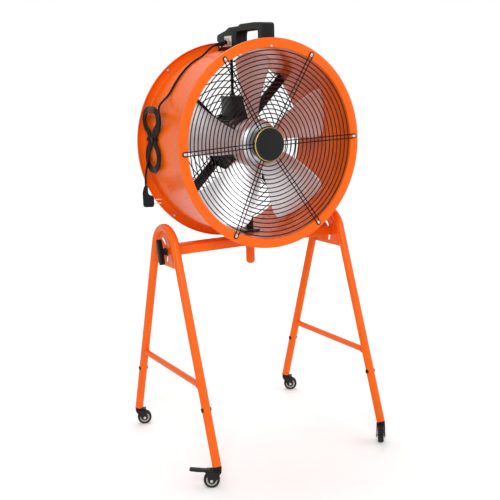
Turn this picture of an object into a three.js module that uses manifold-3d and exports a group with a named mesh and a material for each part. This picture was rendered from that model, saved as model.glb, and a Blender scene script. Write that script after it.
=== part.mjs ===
// Drum fan on a wheeled tilting stand.
// Millimetres, +Z up, the fan blows towards -Y, the crossbar of the stand runs along X.
// The origin is on the floor, under the middle of the whole machine.
import * as THREE from "three";
import Module from "manifold-3d";
import { mergeVertices } from "three/addons/utils/BufferGeometryUtils.js";

const wasm = await Module();
wasm.setup();

// ---------------------------------------------------------------- driving dimensions
const gap = 0.3; // air kept between touching pieces
const runningGap = 0.5; // air kept round pieces that turn

const standMiddle = { x: 20, y: 22 }; // where the swivel post stands, seen from the origin

const frameX = 316; // middle plane of each side frame, from the post
const tubeRadius = 14;
const tubeWall = 2;
const footY = 300; // middle of each tube end, from the middle of the frame
const footZ = 66;
const archZ = 686; // centre of the bend at the top of a side frame
const archRadius = 77;
const archSteps = 12;
const braceZ = 297;
const braceRadius = 10;
const legPlugZ = 230;
const legPlugRadius = 7;
const legPlugProud = 1.5;

const pivotY = 45; // tilt axis, along X, in the rear part of the bend
const pivotZ = 676;
const slotRadius = 56; // of the guide pin's path round the tilt axis
const slotWidth = 11;
const guideRest = 13; // degrees, the guide pin above the tilt axis with the fan level
const tiltDown = 25; // degrees, fan looking down
const tiltUp = 45; // degrees, fan looking up
const slotPlateThickness = 3;
const slotPlateBottomZ = 640;
const pivotBoltRadius = 5;
const guidePinRadius = 5;

const crossbarY = 8; // middle of the crossbar and of the post in it
const crossbarZ = 689;
const crossbarTall = 30;
const crossbarDeep = 60;
const crossbarWall = 3;
const endPlateThickness = 4;
const knobTurn = 14; // degrees, the knob's wing leans from upright
const knobHalfLength = 41;

const postRadius = 15;
const postBottomZ = 607;
const collarWall = 4;

const drumZ = 1016; // fan axis
const drumDepth = 320;
const boreRadius = 300;
const drumWall = 1.5;
const flangeRadius = 330;
const flangeThickness = 2;
const flangeLip = 9; // rim of each flange, turned back
const drumFacets = 48;

const guardWire = 1.8; // wire radius
const guardRimInset = 8; // the outer ring, inside the bore
const frontRings = 9;
const rearRings = 7;
const rearInnerRing = 24;
const guardFacets = 24;
const frontSpokes = 6;
const rearSpokes = 4;
const spokeTurn = 2; // degrees, turn of the front spoke pattern
const rearSpokeTurn = 45;
const spokeHalfPitch = 6;
const guardScrewRadius = 313;
const frontRimDepth = 3; // outer ring behind the flange face
const frontHubDepth = 32; // innermost ring behind the flange face
const rearRimDepth = 3;
const rearHubDepth = 3;

const badgeRadius = 52;
const badgeThickness = 6;

const bladeCount = 5;
const bladeTip = 288;
const hubRadius = 80;
const hubFront = -86;
const hubBack = -22;
const shaftRadius = 12;
const bladeThickness = 2.4;
const bladeMiddleY = -60;
const bladeFirst = 23; // degrees, angle of the first blade
const bladeRootChord = 90;
const bladeTipChord = 206;
const bladeRootPitch = 44; // degrees
const bladeTipPitch = 22;

const motorRadius = 90;
const motorFront = -10;
const motorBack = 146;
const terminalWide = 76;
const terminalDeep = 72;
const terminalTop = 1168;
const terminalY = 76;
const spiderY = 112;
const spiderThickness = 5;
const spiderArm = 34;
const columnWide = 26;
const columnThickness = 8;

const handleWide = 42;
const handleFront = -145;
const handleBack = 150; // below the rear flange's rim, in front of its lip
const handleTopZ = 1396;
const fingerFront = -112;
const fingerBack = 25;
const fingerTopZ = 1374;
const handleFootZ = 1328;
const boxTopZ = 1390; // flat top of the switch box, a step below the grip
const boxBack = 157; // the box stands out over the rear flange
const slopeStart = { y: 98, z: 1381 }; // the sloping face that holds the switch
const slopeEnd = { y: 150, z: 1371 };
const glandY = 80;
const glandZ = 1345;
const reliefDrop = 14; // degrees, the strain relief leans down
const reliefLength = 48;
const reliefRadius = 6.5;
const leadRadius = 5.5; // conduit between switch box and terminal box
const leadY = 98;

const cordRadius = 3.5;
const cordSides = 8;
const cordLayer = 7.6; // pitch of strands that lie on each other
const hankX = -308.5; // first layer of the hank, from the post
const hankY = 83;
const hankZ = 1040;
const hankHalfHeight = 84.5; // of the innermost turn
const hankWaist = 4; // half width of the innermost turn at the tie
const hankHollow = 47; // radius of its hollow sides
const hankUpperFlat = 20; // half of the straight stretch at its upper end
const hankLowerFlat = 2;
const hankPitch = 7.9; // each turn lies this far outside the next one
const hankEntry = 0.2; // half turns, where the first strand comes in
const hankHalfTurns = 6.31;
const hankStepsPerTurn = 48;
const tailY = 136;
const plugZ = 846; // middle of the plug body
const plugTurn = 30; // degrees, the pins turn away from the drum

const wheelRadius = 25;
const wheelWide = 20;
const rimRadius = 17;
const axleRadius = 3;
const casterTrail = 17;
const cheekThickness = 3;
const crownBottom = 51.5;
const crownTop = 57;
const pedalLength = 84;
const pedalHingeX = 24;
const pedalHingeZ = 55;

// ---------------------------------------------------------------- materials
const paint = (color, roughness, metalness) =>
  new THREE.MeshStandardMaterial({ color, roughness, metalness });
const orangePaint = () => paint(0xf2601c, 0.35, 0.2);
const blackPlastic = () => paint(0x1b1c1e, 0.55, 0.0);
const blackSteel = () => paint(0x141414, 0.4, 0.6);
const silverSteel = () => paint(0xc4c6c8, 0.3, 0.9);
const darkMotor = () => paint(0x2a2c2e, 0.5, 0.5);
const blackRubber = () => paint(0x161616, 0.8, 0.0);
const whitePlastic = () => paint(0xd8d8d4, 0.5, 0.0);

// ---------------------------------------------------------------- shape helpers
const rad = THREE.MathUtils.degToRad;
const vec = (x, y, z) => new THREE.Vector3(x, y, z);

// One closed surface with shared corners, without its flat triangles.
function weld(geometry) {
  const bare = geometry.clone();
  bare.deleteAttribute("normal");
  bare.deleteAttribute("uv");
  const merged = mergeVertices(bare, 1e-4);
  const index = merged.getIndex().array;
  const kept = [];
  for (let i = 0; i < index.length; i += 3) {
    const [a, b, c] = [index[i], index[i + 1], index[i + 2]];
    if (a !== b && b !== c && c !== a) kept.push(a, b, c);
  }
  merged.setIndex(kept);
  return merged;
}

function solid(geometry) {
  const merged = weld(geometry);
  const vertProperties = new Float32Array(merged.getAttribute("position").array);
  const triVerts = new Uint32Array(merged.getIndex().array);
  return new wasm.Manifold(new wasm.Mesh({ numProp: 3, vertProperties, triVerts }));
}

function surface(manifold) {
  const mesh = manifold.getMesh();
  const geometry = new THREE.BufferGeometry();
  geometry.setAttribute("position", new THREE.BufferAttribute(new Float32Array(mesh.vertProperties), 3));
  geometry.setIndex(new THREE.BufferAttribute(new Uint32Array(mesh.triVerts), 1));
  return geometry;
}

const joined = (...parts) => surface(parts.map(solid).reduce((a, b) => a.add(b)));
const without = (body, ...tools) => surface(tools.map(solid).reduce((a, b) => a.subtract(b), solid(body)));

const moved = (geometry, x, y, z) => geometry.clone().translate(x, y, z);
const block = (wide, deep, tall, x, y, z) => new THREE.BoxGeometry(wide, deep, tall).translate(x, y, z);

// A straight round bar between two points.
function bar(from, to, radius, sides) {
  const length = from.distanceTo(to);
  const geometry = new THREE.CylinderGeometry(radius, radius, length, sides);
  const turn = new THREE.Quaternion().setFromUnitVectors(vec(0, 1, 0), to.clone().sub(from).normalize());
  geometry.applyQuaternion(turn);
  return geometry.translate(...from.clone().add(to).multiplyScalar(0.5).toArray());
}

// A body turned about the fan's direction: profile points are [radius, y].
function turnedAboutY(profile, facets) {
  return new THREE.LatheGeometry(profile.map(([r, y]) => new THREE.Vector2(r, y)), facets);
}

// A body turned about an upright axis: profile points are [radius, z].
const turnedAboutZ = (profile, facets) => turnedAboutY(profile, facets).rotateX(Math.PI / 2);

// A body turned about X: profile points are [radius, x].
const turnedAboutX = (profile, facets) => turnedAboutY(profile, facets).rotateZ(-Math.PI / 2);

// A flat outline of [u, v] corners with a thickness along w, from w = 0.
function plate(outline, thickness, holes = []) {
  const shape = new THREE.Shape(outline.map(([u, v]) => new THREE.Vector2(u, v)));
  shape.holes = holes.map((hole) => new THREE.Path(hole.map(([u, v]) => new THREE.Vector2(u, v))));
  return new THREE.ExtrudeGeometry(shape, { depth: thickness, bevelEnabled: false });
}

// The same plate with u along Y, v along Z and its thickness along X.
const plateAcrossX = (outline, thickness, x, holes = []) =>
  plate(outline, thickness, holes).rotateX(Math.PI / 2).rotateZ(Math.PI / 2).translate(x, 0, 0);

function circlePoints(radius, sides, u = 0, v = 0) {
  return Array.from({ length: sides }, (_, i) => {
    const angle = (2 * Math.PI * (i + 0.5)) / sides;
    return [u + radius * Math.cos(angle), v + radius * Math.sin(angle)];
  });
}

// A curve that passes through its stations and is sampled exactly at them.
class StationPath extends THREE.Curve {
  constructor(stations, firstDirection, lastDirection) {
    super();
    this.stations = stations;
    this.firstDirection = firstDirection;
    this.lastDirection = lastDirection;
  }
  getPoint(t, target = new THREE.Vector3()) {
    const last = this.stations.length - 1;
    const place = Math.min(Math.max(t, 0), 1) * last;
    const i = Math.min(Math.floor(place + 1e-9), last - 1);
    return target.lerpVectors(this.stations[i], this.stations[i + 1], place - i);
  }
  getPointAt(u, target) {
    return this.getPoint(u, target);
  }
  getTangentAt(u, target = new THREE.Vector3()) {
    const last = this.stations.length - 1;
    const i = Math.round(u * last);
    if (i === 0 && this.firstDirection) return target.copy(this.firstDirection);
    if (i === last && this.lastDirection) return target.copy(this.lastDirection);
    const before = this.stations[Math.max(i - 1, 0)];
    const after = this.stations[Math.min(i + 1, last)];
    const here = this.stations[i];
    const into = here.clone().sub(before).normalize();
    const out = after.clone().sub(here).normalize();
    return target.copy(into.add(out)).normalize();
  }
}

// A round tube through stations, with a section at each of them; its ends may face given directions.
function tubeThrough(stations, radius, sides, boreOfTube = 0, boreSides = 8, firstFacing, lastFacing) {
  const flat = (points) => points.map(([u, v]) => new THREE.Vector2(u, v));
  const shape = new THREE.Shape(flat(circlePoints(radius, sides)));
  if (boreOfTube > 0) shape.holes = [new THREE.Path(flat(circlePoints(boreOfTube, boreSides)))];
  const extrudePath = new StationPath(stations, firstFacing, lastFacing);
  return new THREE.ExtrudeGeometry(shape, { steps: stations.length - 1, extrudePath });
}

const machine = new THREE.Group();
machine.position.set(standMiddle.x, standMiddle.y, 0);

function add(name, geometry, material) {
  const mesh = new THREE.Mesh(weld(geometry), material);
  mesh.name = name;
  machine.add(mesh);
  return mesh;
}

// ---------------------------------------------------------------- side frames
// Where the straight leg meets the bend, seen along X with the foot at +footY.
const footToArch = Math.hypot(footY, archZ - footZ);
const tangentAngle = Math.atan2(footZ - archZ, footY) + Math.acos(archRadius / footToArch);
const tangentY = archRadius * Math.cos(tangentAngle);
const tangentZ = archZ + archRadius * Math.sin(tangentAngle);
const legLean = Math.atan2(footY - tangentY, tangentZ - footZ); // from upright
const legY = (z) => footY - (z - footZ) * Math.tan(legLean); // leg axis at a height

function frameStations(x) {
  const stations = [vec(x, -footY, footZ)];
  for (let i = 0; i <= archSteps; i++) {
    const angle = Math.PI - tangentAngle + ((2 * tangentAngle - Math.PI) * i) / archSteps;
    stations.push(vec(x, archRadius * Math.cos(angle), archZ + archRadius * Math.sin(angle)));
  }
  stations.push(vec(x, footY, footZ));
  return stations;
}

const tubeBore = tubeRadius - tubeWall;
const slotFrom = rad(guideRest - tiltDown) - 0.12; // the slot runs a little past the pin at each end
const slotTo = rad(guideRest + tiltUp) + 0.12;
const archInside = archRadius - tubeRadius - gap;

// The outline of the slotted plate that fills a side frame's bend; u is Y, v is Z.
function slotPlateOutline() {
  const lowHalf = legY(slotPlateBottomZ) - tubeRadius / Math.cos(legLean) - gap;
  const outline = [[-lowHalf, slotPlateBottomZ], [lowHalf, slotPlateBottomZ]];
  for (let i = 0; i <= archSteps; i++) {
    const angle = tangentAngle + ((Math.PI - 2 * tangentAngle) * i) / archSteps;
    outline.push([archInside * Math.cos(angle), archZ + archInside * Math.sin(angle)]);
  }
  return outline;
}

// The curved slot for the guide pin, on the front side of the tilt axis.
function slotHole() {
  const steps = 8;
  const outer = [];
  const inner = [];
  const far = slotRadius + slotWidth / 2;
  const near = slotRadius - slotWidth / 2;
  for (let i = 0; i <= steps; i++) {
    const angle = slotFrom + ((slotTo - slotFrom) * i) / steps;
    const [u, v] = [-Math.cos(angle), Math.sin(angle)];
    outer.push([pivotY + far * u, pivotZ + far * v]);
    inner.push([pivotY + near * u, pivotZ + near * v]);
  }
  return outer.concat(inner.reverse());
}

for (const [side, sign] of [["left", -1], ["right", 1]]) {
  const x = sign * frameX;
  const plugTools = [-1, 1].map((front) => {
    const y = front * legY(legPlugZ);
    return bar(vec(x - 20, y, legPlugZ), vec(x + 20, y, legPlugZ), legPlugRadius + gap, 12);
  });
  const frame = tubeThrough(frameStations(x), tubeRadius, 12, tubeBore, 8);
  add(`${side}_frame_tube`, without(frame, ...plugTools), orangePaint());

  const braceHalf = legY(braceZ) - gap;
  const brace = bar(vec(x, -braceHalf, braceZ), vec(x, braceHalf, braceZ), braceRadius, 12);
  const legTools = [-1, 1].map((front) => {
    const foot = vec(x, front * legY(footZ), footZ);
    const top = vec(x, front * legY(archZ), archZ);
    return bar(foot, top, (tubeRadius + gap) / Math.cos(Math.PI / 12), 12);
  });
  add(`${side}_brace`, without(brace, ...legTools), orangePaint());

  const plateX = x - slotPlateThickness / 2;
  const slotPlate = plateAcrossX(slotPlateOutline(), slotPlateThickness, plateX, [
    slotHole(),
    circlePoints(pivotBoltRadius + runningGap, 12, pivotY, pivotZ),
  ]);
  add(`${side}_slot_plate`, slotPlate, orangePaint());

  for (const [place, front] of [["front", -1], ["rear", 1]]) {
    const y = front * legY(legPlugZ);
    const proud = tubeRadius + legPlugProud;
    const shank = bar(vec(x - proud, y, legPlugZ), vec(x + proud, y, legPlugZ), legPlugRadius, 12);
    add(`${side}_${place}_leg_plug`, shank, blackPlastic());
  }
}

// ---------------------------------------------------------------- casters
// Each caster is drawn with its trailing direction along +X and its swivel axis at the origin.
const cheekInside = wheelWide / 2 + 1.6;
const hubBoreRadius = axleRadius + runningGap;

function wheelRim() {
  const half = wheelWide / 2 - 1;
  const profile = [
    [hubBoreRadius, -half],
    [rimRadius - 5, -half],
    [rimRadius - 4, -half + 2.5],
    [rimRadius, -half + 1.5],
    [rimRadius, half - 1.5],
    [rimRadius - 4, half - 2.5],
    [rimRadius - 5, half],
    [hubBoreRadius, half],
    [hubBoreRadius, -half],
  ];
  return turnedAboutY(profile, 18);
}

function wheelTyre() {
  const half = wheelWide / 2;
  const inside = rimRadius + gap;
  const profile = [
    [inside, -half + 1.5],
    [wheelRadius - 3, -half],
    [wheelRadius, -half + 4],
    [wheelRadius, half - 4],
    [wheelRadius - 3, half],
    [inside, half - 1.5],
    [inside, -half + 1.5],
  ];
  return turnedAboutY(profile, 24);
}

function casterFork(braked) {
  const tailX = braked ? 31 : 24;
  const cheek = plate(
    [[-12, crownTop], [-14, crownBottom], [7, 21], [12, 17], [22, 17], [27, 22],
      [tailX, crownBottom - 1], [tailX, crownTop]],
    cheekThickness,
  ).rotateX(Math.PI / 2);
  const crownEnd = braked ? 16.5 : 22;
  const crownWide = 2 * (cheekInside + cheekThickness);
  const crown = block(crownEnd + 14, crownWide, crownTop - crownBottom, (crownEnd - 14) / 2, 0,
    (crownTop + crownBottom) / 2);
  const reach = cheekInside + cheekThickness + 2;
  const axleFrom = vec(casterTrail, -reach, wheelRadius);
  const axle = bar(axleFrom, vec(casterTrail, reach, wheelRadius), axleRadius, 10);
  const cheeks = [moved(cheek, 0, -cheekInside, 0), moved(cheek, 0, cheekInside + cheekThickness, 0)];
  const raceTop = crownTop + 1.5;
  const race = turnedAboutZ([[0, crownTop - 1], [11, crownTop - 1], [11, raceTop], [0, raceTop]], 14);
  return joined(crown, ...cheeks, axle, race);
}

function brakePedal() {
  const half = cheekInside - gap;
  const outline = [
    [19, 52.6], [28, 52.6], [30, 49.6], [35, 49.6], [37, 52.6], [60, 54], [pedalLength, 58],
    [pedalLength, 62], [62, 60], [44, 58], [20, 57.4],
  ];
  const lever = plate(outline, 2 * half).rotateX(Math.PI / 2).translate(0, half, 0);
  const ribs = [52, 60, 68, 76].map((u) => block(2.5, 2 * half, 3, u, 0, 60.5 + (u - 62) * 0.09));
  return joined(lever, ...ribs);
}

const socketBottom = crownTop + 1.5 + gap;
function casterSocket(front) {
  const collarTop = footZ - 4.6;
  const collar = turnedAboutZ([[0, socketBottom], [14, socketBottom], [14, collarTop], [0, collarTop]], 14);
  const leanAway = vec(0, -front * Math.sin(legLean), Math.cos(legLean));
  const foot = vec(0, 0, footZ);
  const from = foot.clone().addScaledVector(leanAway, -4.5);
  const to = foot.clone().addScaledVector(leanAway, 34);
  return joined(collar, bar(from, to, tubeBore - 2, 12));
}

const casters = [
  { name: "front_left", x: -frameX, front: -1, heading: 150, braked: true },
  { name: "front_right", x: frameX, front: -1, heading: -128, braked: true },
  { name: "rear_left", x: -frameX, front: 1, heading: -20, braked: false },
  { name: "rear_right", x: frameX, front: 1, heading: -32, braked: false },
];
for (const { name, x, front, heading, braked } of casters) {
  const place = (geometry) => geometry.clone().rotateZ(rad(heading)).translate(x, front * footY, 0);
  const atAxle = (geometry) => place(geometry.translate(casterTrail, 0, wheelRadius));
  add(`${name}_caster_socket`, moved(casterSocket(front), x, front * footY, 0), blackPlastic());
  add(`${name}_caster_fork`, place(casterFork(braked)), blackPlastic());
  add(`${name}_wheel_rim`, atAxle(wheelRim()), whitePlastic());
  add(`${name}_wheel_tyre`, atAxle(wheelTyre()), blackRubber());
  if (braked) add(`${name}_brake_pedal`, place(brakePedal()), blackPlastic());
}

// ---------------------------------------------------------------- crossbar and tilt lock
const plateInside = frameX - slotPlateThickness / 2; // face of the slotted plate, towards the post
const endPlateX = plateInside - runningGap - endPlateThickness;
const pinReach = plateInside + slotPlateThickness + 2;
const pinY = pivotY - slotRadius * Math.cos(rad(guideRest));
const pinZ = pivotZ + slotRadius * Math.sin(rad(guideRest));

function crossbar() {
  const barAt = (wide, deep, tall) => block(wide, deep, tall, 0, crossbarY, crossbarZ);
  const outer = barAt(2 * endPlateX + 2, crossbarDeep, crossbarTall);
  const hollow = barAt(2 * endPlateX + 10, crossbarDeep - 2 * crossbarWall, crossbarTall - 2 * crossbarWall);
  const tube = without(outer, hollow);
  const front = crossbarY - crossbarDeep / 2;
  const rear = crossbarY + crossbarDeep / 2;
  const under = crossbarZ - crossbarTall / 2;
  const over = crossbarZ + crossbarTall / 2;
  const noseRadius = 14;
  const nose = [-90, -60, -30, 0, 30, 60].map((degrees) =>
    [pivotY + noseRadius * Math.cos(rad(degrees)), pivotZ + noseRadius * Math.sin(rad(degrees))]);
  const endOutline = [[front, under], ...nose, [rear, over], [front, over]];
  const drain = circlePoints(6, 10, crossbarY + 12, crossbarZ); // lets water out of the hollow bar
  const ends = [-1, 1].map((sign) => {
    const x = sign > 0 ? endPlateX : -endPlateX - endPlateThickness;
    return plateAcrossX(endOutline, endPlateThickness, x, [drain]);
  });
  const pins = [-1, 1].map((sign) =>
    bar(vec(sign * endPlateX, pinY, pinZ), vec(sign * pinReach, pinY, pinZ), guidePinRadius, 12));
  const collarRadius = postRadius + gap + collarWall;
  const collar = moved(turnedAboutZ([[0, under - 7], [collarRadius, under - 7], [collarRadius, over],
    [0, over]], 16), 0, crossbarY, 0);
  const whole = joined(tube, ...ends, ...pins, collar);
  const postHole = bar(vec(0, crossbarY, under - 60), vec(0, crossbarY, over + 60), postRadius + gap, 16);
  const boltHoles = [-1, 1].map((sign) =>
    bar(vec(sign * (endPlateX - 30), pivotY, pivotZ), vec(sign * (endPlateX + 20), pivotY, pivotZ),
      pivotBoltRadius + gap, 12));
  return without(whole, postHole, ...boltHoles);
}
add("crossbar", crossbar(), orangePaint());

// The pivot bolts sit in the slotted plates and carry the crossbar's end plates.
function pivotBolt() {
  const washerX = plateInside + slotPlateThickness + gap;
  const shank = bar(vec(endPlateX - 8, 0, 0), vec(washerX + 5, 0, 0), pivotBoltRadius, 12);
  const washer = turnedAboutX([[0, washerX], [10, washerX], [10, washerX + 2], [0, washerX + 2]], 12);
  const head = turnedAboutX([[0, washerX + 1], [8, washerX + 1], [8, washerX + 7], [0, washerX + 7]], 6);
  return joined(shank, washer, head);
}
add("right_pivot_bolt", moved(pivotBolt(), 0, pivotY, pivotZ), silverSteel());
add("left_pivot_bolt", moved(pivotBolt().rotateZ(Math.PI), 0, pivotY, pivotZ), silverSteel());

// The knob on the left guide pin clamps the slotted plate.
function lockKnob() {
  const inner = pinReach + gap;
  const boss = turnedAboutX([[0, inner], [10.5, inner], [12, inner + 4], [0, inner + 4]], 14);
  const stem = turnedAboutX([[0, inner + 3], [11.5, inner + 3], [10, inner + 13], [0, inner + 13]], 14);
  const tip = knobHalfLength;
  const outline = [[-9, 0], [-7, 3 - tip], [-4, -tip], [4, -tip], [7, 3 - tip], [9, 0],
    [7, tip - 3], [4, tip], [-4, tip], [-7, tip - 3]];
  const wing = plateAcrossX(outline, 16, inner + 12);
  return joined(boss, stem, wing).rotateZ(Math.PI).rotateX(-rad(knobTurn));
}
add("tilt_lock_knob", moved(lockKnob(), 0, pinY, pinZ), blackPlastic());

// ---------------------------------------------------------------- swivel post and saddle
const shellOutside = boreRadius + drumWall;
const shellBottomZ = drumZ - shellOutside;
const crossbarTopZ = crossbarZ + crossbarTall / 2;
function swivelPost() {
  const saddleZ = crossbarTopZ + runningGap;
  const shank = turnedAboutZ([[0, postBottomZ], [8, postBottomZ + 1.5], [13, postBottomZ + 5],
    [postRadius, postBottomZ + 11], [postRadius, saddleZ + 2], [0, saddleZ + 2]], 16);
  const saddleTall = shellBottomZ + 12 - saddleZ;
  const saddle = block(120, 90, saddleTall, 0, crossbarY, saddleZ + saddleTall / 2);
  const drum = bar(vec(0, -200, drumZ), vec(0, 200, drumZ), shellOutside + gap, drumFacets);
  return joined(moved(shank, 0, crossbarY, 0), without(saddle, drum));
}
add("swivel_post", swivelPost(), orangePaint());

// ---------------------------------------------------------------- drum shell and its end rings
const half = drumDepth / 2;
function drumShell() {
  const end = half - flangeThickness - gap;
  const profile = [
    [boreRadius, -end],
    [shellOutside, -end],
    [shellOutside, end],
    [boreRadius, end],
    [boreRadius, -end],
  ];
  const shell = moved(turnedAboutY(profile, drumFacets), 0, 0, drumZ);
  const leadHole = bar(vec(0, leadY, drumZ + 280), vec(0, leadY, drumZ + 310), leadRadius + gap, 10);
  return without(shell, leadHole);
}
add("drum_shell", drumShell(), orangePaint());

// A flat end ring with its outer rim turned back, face at y = 0 and rim towards +Y.
function endFlange() {
  const lip = flangeRadius - flangeThickness;
  const profile = [
    [boreRadius, 0],
    [flangeRadius, 0],
    [flangeRadius, flangeLip],
    [lip, flangeLip],
    [lip, flangeThickness],
    [boreRadius, flangeThickness],
    [boreRadius, 0],
  ];
  return turnedAboutY(profile, drumFacets);
}
add("front_flange", moved(endFlange(), 0, -half, drumZ), orangePaint());
add("rear_flange", moved(endFlange().rotateZ(Math.PI), 0, half, drumZ), orangePaint());

// ---------------------------------------------------------------- guards
// A ring of wire about the fan axis.
function wireRing(radius, y, facets) {
  const w = guardWire;
  const profile = [[radius - w, y], [radius, y - w], [radius + w, y], [radius, y + w], [radius - w, y]];
  return turnedAboutY(profile, facets);
}

// A guard seen from its outer side, flange face at y = 0 and depth along +Y.
function guard(ringCount, spokes, firstSpoke, innerRadius, rimDepth, hubDepth) {
  const outerRadius = boreRadius - guardRimInset;
  const depthAt = (radius) =>
    hubDepth + ((rimDepth - hubDepth) * (radius - innerRadius)) / (outerRadius - innerRadius);
  const pieces = [];
  for (let i = 0; i < ringCount; i++) {
    const radius = innerRadius + ((outerRadius - innerRadius) * i) / (ringCount - 1);
    pieces.push(wireRing(radius, depthAt(radius), radius > 180 ? guardFacets * 1.5 : guardFacets));
  }
  const over = -guardWire - gap; // the spokes pass over the flange face
  for (let k = 0; k < spokes; k++) {
    const angle = rad(firstSpoke + (360 * k) / spokes);
    const wires = [-1, 1].flatMap((sidePair) => {
      const across = sidePair * spokeHalfPitch;
      const inner = vec(innerRadius - 3, hubDepth - 1.4 * guardWire, across);
      const bend = vec(outerRadius + 1, rimDepth - 1.4 * guardWire, across);
      const risen = vec(outerRadius + 6, over, across);
      const end = vec(guardScrewRadius, over, across);
      return [tubeThrough([inner, bend, risen, end], guardWire, 4)];
    });
    const loop = turnedAboutY([[spokeHalfPitch - guardWire, 0], [spokeHalfPitch, -guardWire],
      [spokeHalfPitch + guardWire, 0], [spokeHalfPitch, guardWire], [spokeHalfPitch - guardWire, 0]], 10)
      .translate(guardScrewRadius, over, 0);
    for (const piece of [...wires, loop]) pieces.push(piece.rotateY(-angle));
  }
  return joined(...pieces);
}
const innerRing = badgeRadius + 4;
const frontGuard = guard(frontRings, frontSpokes, spokeTurn, innerRing, frontRimDepth, frontHubDepth);
add("front_guard", moved(frontGuard, 0, -half, drumZ), blackSteel());
const rearGuard = guard(rearRings, rearSpokes, rearSpokeTurn, rearInnerRing, rearRimDepth, rearHubDepth);
add("rear_guard", moved(rearGuard.rotateZ(Math.PI), 0, half, drumZ), blackSteel());

const badgeBack = -half + frontHubDepth - guardWire * 2.4 - gap;
const badge = turnedAboutY([[0, badgeBack - badgeThickness], [badgeRadius - 3, badgeBack - badgeThickness],
  [badgeRadius + 3, badgeBack - 2], [badgeRadius + 3, badgeBack], [0, badgeBack]], 32);
add("guard_badge", moved(badge, 0, 0, drumZ), blackPlastic());

// ---------------------------------------------------------------- fan
const hubProfile = [[shaftRadius + gap, hubFront + 4], [34, hubFront], [62, hubFront + 7],
  [hubRadius - 4, hubFront + 20], [hubRadius, hubFront + 30], [hubRadius, hubBack],
  [shaftRadius + gap, hubBack], [shaftRadius + gap, hubFront + 4]];
const hubFacets = 30;
add("fan_hub", moved(turnedAboutY(hubProfile, hubFacets), 0, 0, drumZ), silverSteel());
const shaftFront = hubFront + 2;
const shaft = turnedAboutY([[0, shaftFront], [shaftRadius, shaftFront], [shaftRadius, motorFront + 26],
  [0, motorFront + 26]], 16);
add("motor_shaft", moved(shaft, 0, 0, drumZ), silverSteel());

// One blade along +X: sections at growing radius, each a thin curved strip, joined in a grid.
const bladeStations = 7;
const bladeAcross = 5;
function bladePoint(s, c, face) {
  const radius = hubRadius - 6 + (bladeTip - hubRadius + 6) * s;
  const chord = bladeRootChord + (bladeTipChord - bladeRootChord) * (1.1 * s ** 0.9 - 0.1 * s ** 8);
  const pitch = rad(bladeRootPitch + (bladeTipPitch - bladeRootPitch) * s);
  const sweep = rad(4 - 8 * s);
  const along = (c - 0.5) * chord;
  const camber = 0.07 * chord * (1 - (2 * c - 1) ** 2);
  const lift = camber + face * bladeThickness;
  const tangential = along * Math.cos(pitch) + lift * Math.sin(pitch);
  const axial = lift * Math.cos(pitch) - along * Math.sin(pitch);
  const angle = sweep + tangential / Math.max(radius, hubRadius + 4);
  return [radius * Math.cos(angle), bladeMiddleY + axial, radius * Math.sin(angle)];
}
function bladeGeometry() {
  const rows = bladeStations + 1;
  const columns = bladeAcross + 1;
  const positions = [];
  for (const face of [0, 1]) {
    for (let i = 0; i < rows; i++) {
      for (let j = 0; j < columns; j++) {
        positions.push(...bladePoint(i / bladeStations, j / bladeAcross, face));
      }
    }
  }
  const at = (face, i, j) => face * rows * columns + i * columns + j;
  const index = [];
  const quad = (a, b, c, d) => index.push(a, c, b, a, d, c);
  for (let i = 0; i < bladeStations; i++) {
    for (let j = 0; j < bladeAcross; j++) {
      quad(at(0, i, j), at(0, i, j + 1), at(0, i + 1, j + 1), at(0, i + 1, j));
      quad(at(1, i, j), at(1, i + 1, j), at(1, i + 1, j + 1), at(1, i, j + 1));
    }
    quad(at(0, i, 0), at(0, i + 1, 0), at(1, i + 1, 0), at(1, i, 0));
    quad(at(0, i, bladeAcross), at(1, i, bladeAcross), at(1, i + 1, bladeAcross), at(0, i + 1, bladeAcross));
  }
  const tip = bladeStations;
  for (let j = 0; j < bladeAcross; j++) {
    quad(at(0, 0, j), at(1, 0, j), at(1, 0, j + 1), at(0, 0, j + 1));
    quad(at(0, tip, j), at(0, tip, j + 1), at(1, tip, j + 1), at(1, tip, j));
  }
  const geometry = new THREE.BufferGeometry();
  geometry.setAttribute("position", new THREE.Float32BufferAttribute(positions, 3));
  geometry.setIndex(index);
  return geometry;
}
const hubRoomRadius = hubRadius + gap;
const hubRoom = turnedAboutY([[0, -200], [hubRoomRadius, -200], [hubRoomRadius, 120], [0, 120]], hubFacets);
for (let k = 0; k < bladeCount; k++) {
  const turned = bladeGeometry().rotateY(-rad(bladeFirst + (360 * k) / bladeCount));
  add(`fan_blade_${k + 1}`, moved(without(turned, hubRoom), 0, 0, drumZ), silverSteel());
}

// ---------------------------------------------------------------- motor
const motorShaftHole = shaftRadius + runningGap;
const motorProfile = [[0, motorFront + 30], [motorShaftHole, motorFront + 30], [motorShaftHole, motorFront],
  [40, motorFront],
  [motorRadius - 6, motorFront + 8], [motorRadius, motorFront + 14], [motorRadius, motorBack - 14],
  [motorRadius - 8, motorBack - 2], [motorRadius - 30, motorBack], [0, motorBack]];
add("motor_body", moved(turnedAboutY(motorProfile, 32), 0, 0, drumZ), darkMotor());

const terminalBottom = drumZ + motorRadius * 0.82;
function terminalBox() {
  const tall = terminalTop - terminalBottom;
  const box = block(terminalWide, terminalDeep, tall, 0, terminalY, terminalBottom + tall / 2);
  const barrel = bar(vec(0, -60, drumZ), vec(0, 200, drumZ), motorRadius + gap, 32);
  return without(box, barrel);
}
add("terminal_box", terminalBox(), darkMotor());

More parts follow.
